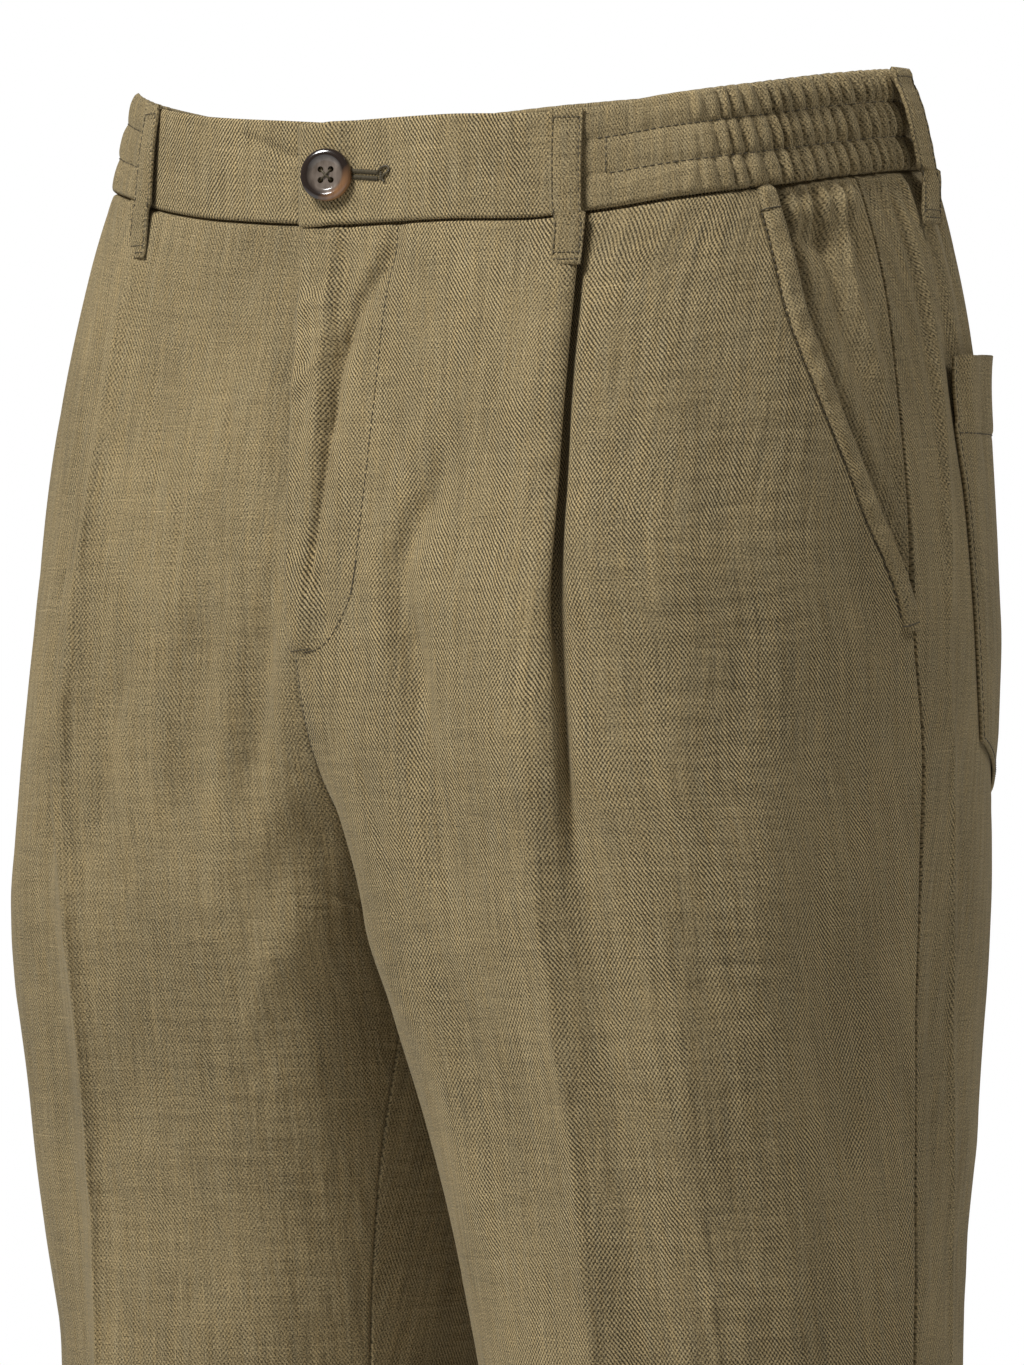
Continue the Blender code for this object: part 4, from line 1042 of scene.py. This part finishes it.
def patch_lift(share, down):
    """How far the patch stands off the panel: it gapes at its mouth, is thick at its hem and is sewn down round
    its edge."""
    inset = min(share, 1 - share) * PATCH_WIDTH
    depth = down * (PATCH_TOP - PATCH_POINT)
    gape = 4.2 * math.exp(-depth / 13) * (0.45 + 0.55 * math.sin(math.pi * share))
    full = 0.9 * float(ease(inset / 14)) * float(ease((1 - down) * 150 / 18))
    hem = 0.7 * float(ease((PATCH_HEM - depth) / 2 + 0.5))
    sewn = -0.35 * math.exp(-(((inset - PATCH_SEAM) / 1.0) ** 2)) - 0.3 * math.exp(-(((depth - PATCH_HEM) / 1.1) ** 2))
    edge = -0.5 * math.exp(-((inset / 0.9) ** 2))
    return 1.7 + gape + full + hem + sewn + edge


def patch_pocket(side, word, finish, back):
    shares = np.concatenate([np.linspace(0, 0.04, 7)[:-1], np.linspace(0.04, 0.96, 53)[:-1], np.linspace(0.96, 1, 7)])

    def on_patch(share, down, over=0.02):
        return back.at(*patch_place(share, down), patch_lift(share, down) + over)

    rows = [[on_patch(share, down, 0.0)[0] for share in shares] for down in np.linspace(0, 1, 93)]
    cut_and_sewn(f"linen_patch_{word}", np.array(rows), side, finish, PATCH_THICK, node=f"back_pocket_{word}")
    sewing = Sewing()
    near, low = PATCH_SEAM / PATCH_WIDTH, 0.985
    edge = ((near, 0.01), (near, 0.5), (near, low), (0.25, low), (0.5, low), (0.75, low), (1 - near, low),
            (1 - near, 0.5), (1 - near, 0.01))
    for k in (0, 2, 4, 6):
        sewing.row(on_patch, edge[k:k + 3])
    hem_places = np.linspace(near, 1 - near, 9)
    hem_downs = PATCH_HEM / (PATCH_TOP - PATCH_FOOT + (PATCH_FOOT - PATCH_POINT) * (1 - abs(2 * hem_places - 1)))
    hem = list(zip(hem_places, hem_downs))
    for ends in zip(hem, hem[1:]):
        sewing.row(on_patch, ends)
    sewing.finish(f"stitches_patch_{word}")


patch_pocket(1, "left", linen("linen_left_patch", 888.0, 0.5), left_back)
patch_pocket(-1, "right", linen("linen_right_patch", 999.0, 0.5, -1.0), right_back)


# ---- Waistband ------------------------------------------------------------------------------------------------
# Folded linen 38.5 mm high. Its front ends are flat and faced, and the left one laps over the right and buttons.
# From the front loops round the back it holds wide elastic, sewn through in two rows, which gathers it into small
# upright puffs in three tiers.
BAND_HEIGHT = 38.5
BAND_THICK = 2.2
band_ends = {1: 108.0, -1: 94.0}
band_linen = linen("linen_band", 1234.0)
gathered_linen = linen("linen_elastic", 1290.0, 0.4)


def band_lean(l, height):
    """The band leans in towards its top: hardly at the front, and most over the sides."""
    return -9.0 * ease((abs(l) - 60) / 80) * height / BAND_HEIGHT


def band_edges(height):
    """The turn of the band into its top fold and into the seam at its foot."""
    top = np.clip((height - BAND_HEIGHT + 1.6) / 1.6, 0, 1)
    return -0.8 * top**2 - 1.0 * np.exp(-((height / 0.8) ** 2))


def band_stretch(name, side, node, us, heights, lifts, finish, rises=0.0, fullness=1.0):
    """A stretch of waistband, whose places are a length round the waist and a height over the seam."""
    ls = np.repeat(us[None, :], len(heights), axis=0)
    height = np.repeat(heights[:, None], len(us), axis=1)
    lifts = lifts + 0.8 + band_lean(ls, height) + band_edges(height)
    points = lay(np.zeros(len(heights)), ls, lifts, side, height + rises)
    grain = np.stack([ls * fullness, height], axis=2)
    cut_and_sewn(name, points, side, finish, BAND_THICK, node, grain)
    return Panel(heights, ls, points, side)


front_heights = np.concatenate([np.linspace(BAND_HEIGHT, BAND_HEIGHT - 2, 5)[:-1],
                                np.linspace(BAND_HEIGHT - 2, 3, 23)[:-1], np.linspace(3, 0.2, 7)])
band_folds = {
    1: [("l", ((34, 36), (44, 22), (50, 6)), 3.0, 0.5, 1.2)],
    -1: [("l", ((40, 32), (26, 28), (13, 24)), 1.8, -1.5, 1.2), ("l", ((60, 8), (52, 20), (50, 32)), 3.0, 0.5, 1.2)],
}
fronts = {}
for side, word in ((1, "left"), (-1, "right")):
    start = -11.5 if side > 0 else HALF_GAP
    us = np.linspace(start, band_ends[side] - HALF_GAP, 85)
    l, height = np.meshgrid(us, front_heights)
    lifts = unevenness(61 + side, l, height, 40, 0.22) + folds_on(band_folds[side], {"l": l}, height)
    rises = np.zeros(l.shape)
    if side > 0:
        lifts += (BAND_THICK + 1.3) * ease((15 - l) / 14) + seam_roll(l - start, 1.4, 1.5)
        rises -= 1.3 * ease((6 - l) / 16)
    else:
        lifts -= 2.0 * ease((25 - l) / 18)
    fronts[side] = band_stretch(
        f"linen_band_front_{word}", side, f"waistband_front_{word}", us, front_heights, lifts, band_linen,
        rises=rises,
    )

STITCH_HEIGHTS = (13.0, 26.4)
elastic_heights = np.linspace(BAND_HEIGHT, 0.2, 45)
elastic_folds = [
    ("l", ((130, 2), (131, 12)), 2.2, 0.5, 1.0),
    ("l", ((141, 14), (140, 25)), 2.0, 0.5, 1.0),
    ("l", ((150, 2), (152, 11)), 2.0, 0.6, 1.0),
    ("l", ((133, 27), (134, 36)), 2.4, 0.5, 1.0),
    ("l", ((156, 28), (157, 36)), 2.0, 0.6, 1.0),
]
for side, word in ((1, "left"), (-1, "right")):
    start, end = band_ends[side] + HALF_GAP, outline(0).length
    us = np.linspace(start, end, 411)
    l, height = np.meshgrid(us, elastic_heights)
    grow = 0.14 + 0.86 * ease((l - 140) / 50)
    chance = np.random.default_rng(70 + side)
    knots = np.arange(80)
    wander = np.interp(l / GATHER_PITCH, knots, np.cumsum(chance.uniform(0.6, 1.45, 80)))
    size = np.interp(l / GATHER_PITCH, knots, chance.uniform(0.5, 1.35, 80))
    tier = (height > STITCH_HEIGHTS[0]).astype(int) + (height > STITCH_HEIGHTS[1])
    slip = 0.22 * np.sin(tier * 2.1 + l / 19) + 0.02 * (height - 19)
    wave = np.abs(np.sin(math.pi * (wander * 0.96 + slip))) ** 0.6
    levels = np.array([0.0, *STITCH_HEIGHTS, BAND_HEIGHT])
    inside = np.clip((height - levels[tier]) / (levels[tier + 1] - levels[tier]), 0, 1)
    puff = np.sin(math.pi * inside) ** 0.55
    lifts = (0.4 + 0.6 * grow) * (1.9 * puff - 1.0) + grow * size * (wave - 0.75) * (2.2 + 2.8 * puff)
    lifts -= 3.0 * ease((l - 284) / 22) * (0.4 + 0.6 * height / BAND_HEIGHT)
    lifts += folds_on(elastic_folds, {"l": l}, height)
    elastic = band_stretch(
        f"linen_band_elastic_{word}", side, f"waistband_elastic_{word}", us, elastic_heights, lifts, gathered_linen,
        rises=0.45 * grow * (wave - 0.5) * size * ease((height - 30) / 8), fullness=1.25,
    )
    sewing = Sewing()
    for height, inset in zip(STITCH_HEIGHTS, (12, 7)):
        for a in np.arange(start + inset, end - 6, 6.0):
            sewing.row(elastic.at, ((a, height), (min(a + 6.0, end - 1), height)))
    sewing.row(elastic.at, [(start + 11, height) for height in STITCH_HEIGHTS])
    sewing.finish(f"stitches_elastic_{word}")


# ---- Belt loops -----------------------------------------------------------------------------------------------
# Five strips of folded linen 12 mm wide, stitched along both edges, caught at the top of the band and tacked down
# under the waist seam. They stand clear of the band between.
LOOP_WIDTH = 11.8
LOOP_DROP = 19.0
LOOP_SEAM = 4.9  # from the loop's middle to each row of stitches
loop_profile = Sizes(
    "height off",
    (
        (BAND_HEIGHT + 0.4, 0.4), (BAND_HEIGHT - 2, 1.2), (BAND_HEIGHT - 5, 1.1), (BAND_HEIGHT - 9, 2.2),
        (BAND_HEIGHT - 18, 3.1), (BAND_HEIGHT - 28, 3.2), (2, 2.8), (-6, 1.9), (-11, 1.1), (-15, 0.6),
        (-LOOP_DROP, 0.7),
    ),
)
loops = (
    ("front_left", 1, 106.0, "front_left"),
    ("front_right", -1, 94.0, "front_right"),
    ("side_left", 1, 275.0, "elastic_left"),
    ("side_right", -1, 265.0, "elastic_right"),
    ("back", 1, None, "elastic_left"),
)
heights = np.linspace(BAND_HEIGHT + 0.4, -LOOP_DROP, 59)
shares = np.concatenate([np.linspace(-0.5, -0.36, 6)[:-1], np.linspace(-0.36, 0.36, 9)[:-1],
                         np.linspace(0.36, 0.5, 6)])
for k, (word, side, middle, under) in enumerate(loops):
    behind = middle is None
    middle = outline(0).length if behind else middle
    rows = []
    for height in heights:
        body = outline(min(height, 0.0))
        slide = 1.5 * float(ease((BAND_HEIGHT - height) / 58)) - 1.7 if word == "front_left" else 0.0
        reach = body.length if behind else middle * (1.0 if height > 0 else 1.015) + slide
        point, out = (found[0] for found in body.at(np.array([reach])))
        if behind:
            point, out = np.array([0.0, point[1]]), np.array([0.0, 1.0])
        across = np.array([-out[1], out[0]])
        angle = math.degrees(math.atan2(abs(point[0]), -point[1]))
        drop = float(waistline("left" if side > 0 else "right", angle)) * (1 - float(ease(-min(height, 0) / 130)))
        swell = 1.0 if behind else 1.9 if middle > 172 else 0.6
        off = float(loop_profile("off", height)) * (1.0 if swell > 1 else 0.5) + (1.5 if swell > 1 else 1.2)
        rows.append([])
        for share in shares:
            lean = float(band_lean(middle + share * LOOP_WIDTH, max(height, 0.0)))
            edge = abs(share) * LOOP_WIDTH
            shape = 0.25 * (1 - (2 * share) ** 2) - 0.55 * math.exp(-(((edge - 4.7) / 0.5) ** 2))
            shape += 0.12 * math.sin(height * 0.9 + k) * math.cos(share * 5) - 0.5 * float(ease((edge - 5.3) / 0.6))
            twist = 2.4 * (share + 0.5) if swell > 1 and not behind else 0.0
            spot = point + across * share * LOOP_WIDTH + out * (0.8 + lean + swell + off + shape + twist)
            rows[-1].append((side * spot[0], spot[1], height + drop))
    rows = np.array(rows)
    cut_and_sewn(f"linen_loop_{word}", rows, side, linen(f"linen_loop_{word}", 1500.0 + 37 * k, 0.5), LOOP_THICK,
                 node=f"belt_loop_{word}")
    strip = Panel(heights, np.repeat((shares * LOOP_WIDTH)[None, :], len(heights), axis=0), rows, side)
    sewing = Sewing()
    for edge in (-LOOP_SEAM, LOOP_SEAM):
        sewing.row(strip.at, ((edge, BAND_HEIGHT - 3), (edge, -LOOP_DROP + 3)), pitch=2.6, length=2.0)
    for height in (BAND_HEIGHT - 3, -LOOP_DROP + 4.4, -LOOP_DROP + 1.8):
        sewing.row(strip.at, ((-LOOP_SEAM, height), (LOOP_SEAM, height)), pitch=1.6, length=1.4)
    sewing.finish(f"stitches_loop_{word}")


# ---- Button ---------------------------------------------------------------------------------------------------
# Dark horn with a raised rim round a dished middle, and four holes. Its thread crosses between them. The hole it
# passes through is worked with close stitches and ends in a loose curl of cord.
BUTTON_RADIUS = 9.8
BUTTON_TURN = math.radians(22)
button_at = fronts[1].at(3.9, 18.6, 1.8)[0]
bpy.ops.object.select_all(action="DESELECT")
bpy.ops.mesh.primitive_cylinder_add(vertices=72, radius=BUTTON_RADIUS * MM, depth=2.0 * MM)
button = bpy.context.object
button.name = "horn_button"
bpy.ops.object.mode_set(mode="EDIT")
bpy.ops.mesh.select_mode(type="FACE")
rim_and_dish = ((0.7, 0.8), (0.9, 0.35), (0.9, 0.0), (0.9, -0.55), (1.0, -0.65), (1.1, -0.1))
for way, insets in ((1, rim_and_dish), (-1, ((1.6, 0.3),))):
    bpy.ops.mesh.select_all(action="DESELECT")
    disc = bmesh.from_edit_mesh(button.data)
    for face in disc.faces:
        face.select = face.normal.z * way > 0.9
    bmesh.update_edit_mesh(button.data)
    for inward, upward in insets:
        bpy.ops.mesh.inset(thickness=inward * MM, depth=upward * MM)
bpy.ops.object.mode_set(mode="OBJECT")
rounding = button.modifiers.new("rounding", "BEVEL")
rounding.width = 0.28 * MM
rounding.segments = 3
rounding.limit_method = "ANGLE"
rounding.angle_limit = math.radians(18)
bpy.ops.object.modifier_apply(modifier="rounding")
holes = [(2.0 * sx, 2.0 * sy) for sx in (-1, 1) for sy in (-1, 1)]
for x, y in holes:
    bpy.ops.mesh.primitive_cylinder_add(vertices=24, radius=1.12 * MM, depth=12 * MM, location=(x * MM, y * MM, 0))
    drill = bpy.context.object
    bpy.ops.object.select_all(action="DESELECT")
    button.select_set(True)
    bpy.context.view_layer.objects.active = button
    hole = button.modifiers.new("hole", "BOOLEAN")
    hole.operation = "DIFFERENCE"
    hole.solver = "EXACT"
    hole.object = drill
    bpy.ops.object.modifier_apply(modifier="hole")
    bpy.data.objects.remove(drill, do_unlink=True)
bpy.ops.object.shade_smooth_by_angle(angle=math.radians(38))
button.rotation_euler = (math.radians(90), 0, BUTTON_TURN)
button.location = button_at * MM
bpy.ops.object.transform_apply(location=True, rotation=True, scale=True)

horn, horn_shader, horn_wires = painted("dark_horn", {"Roughness": 0.2, "Coat Weight": 0.7, "Coat Roughness": 0.1})
horn_place = horn_wires.step("ShaderNodeTexCoord", out="Object")
centred = horn_wires.vector("ADD", horn_place, tuple(-button_at * MM))
marble = horn_wires.noise(centred, (420, 420, 120), 3.0)
# Painted light: a warm orange glow is painted on the lower right of the rim, where light from the upper left would
# shine through the horn. It is a painted glow of light, not a colour of the horn itself.
painted_glow_way = [way / (BUTTON_RADIUS * MM) for way in (0.72 * math.cos(BUTTON_TURN), 0.72 * math.sin(BUTTON_TURN), -0.69)]
toward_painted_glow = horn_wires.vector("DOT_PRODUCT", centred, painted_glow_way, out=1)
rim = horn_wires.spread(horn_wires.vector("LENGTH", centred, out=1), 0.0058, 0.0074, 0.0, 1.0)
painted_glow = horn_wires.times(
    horn_wires.spread(toward_painted_glow, 0.35, 0.85, 0.0, 1.0), rim, horn_wires.spread(marble, 0.25, 0.5, 0.35, 0.6)
)
dish_share = horn_wires.spread(marble, 0.35, 0.65, 0.0, 1.0)
dish = horn_wires.mix(dish_share, (0.12, 0.092, 0.072, 1), (0.23, 0.185, 0.15, 1))
dark = horn_wires.mix(rim, dish, (0.022, 0.013, 0.009, 1))
# The painted glow's orange (0.5, 0.25, 0.11) is laid over the dark horn at the lower right of the rim.
horn_wires.put(horn_wires.mix(painted_glow, dark, (0.5, 0.25, 0.11, 1)), horn_shader["Base Color"])
button.data.materials.clear()
button.data.materials.append(horn)
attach(button, "root")
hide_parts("button")

button_right = np.array([math.cos(BUTTON_TURN), math.sin(BUTTON_TURN), 0])
button_up = np.array([0, 0, 1.0])
button_face = np.array([math.sin(BUTTON_TURN), -math.cos(BUTTON_TURN), 0])


def on_button(x, y, rise):
    return button_at + button_right * x + button_up * y + button_face * rise


button_thread = Sewing()
for (x0, y0), (x1, y1) in ((holes[0], holes[3]), (holes[1], holes[2])):
    strand = [on_button(x0 * out, y0 * out, rise) for out, rise in ((1, -1.2), (0.8, 0.75), (0.4, 1.15))]
    strand += [on_button(x1 * out, y1 * out, rise) for out, rise in ((0.4, 1.15), (0.8, 0.75), (1, -1.2))]
    button_thread.add(*tube(strand, [button_face] * 6, [0.42] * 6, 8))
shank = [on_button(0, 0, -2.6), on_button(0, 0, -0.6)]
button_thread.add(*tube(shank, [button_up] * 2, [1.5, 1.5], 12))

# The worked hole: close stitches across both lips of the slit, a bar at its end, and the curl of cord.
LIP_PITCH = 0.62
slit_start, slit_end = np.array([9.5, 19.0]), np.array([25.0, 17.4])
slit_length = float(np.linalg.norm(slit_end - slit_start))
slit_run = (slit_end - slit_start) / slit_length
slit_across = np.array([-slit_run[1], slit_run[0]])


def slit_stitch(near, far, lift, *shape):
    (a, out_a), (b, out_b) = fronts[1].at(*near, lift), fronts[1].at(*far, 0.0)
    button_thread.stitch((a, b), (out_a, out_b), *shape)


for k in range(int(slit_length / LIP_PITCH) + 1):
    middle = slit_start + slit_run * k * LIP_PITCH
    for hand in (-slit_across, slit_across):
        slit_stitch(middle + hand * 0.22, middle + hand * (2.0 + 0.16 * math.sin(k * 2.3)), 0.05, 0.34, 0.34, 0.5)
for k in range(5):
    middle = slit_end + slit_run * 0.5 + slit_across * (k - 2) * LIP_PITCH
    slit_stitch(middle, middle + slit_run * 1.7, 0.1, 0.32, 0.3, 0.4)
curl_path = ((24.8, 18.6), (26.8, 20.1), (29.2, 20.7), (30.4, 19.6), (29.6, 18.2), (28.0, 17.4), (27.4, 15.9),
             (28.2, 14.9))
curl = [fronts[1].at(u, h, 0.55 + 0.25 * math.sin(k * 0.35)) for k, (u, h) in enumerate(curve_through(curl_path, 5))]
button_thread.add(*tube(*zip(*curl), [0.46] * len(curl), 6))
button_thread.finish("stitches_button")
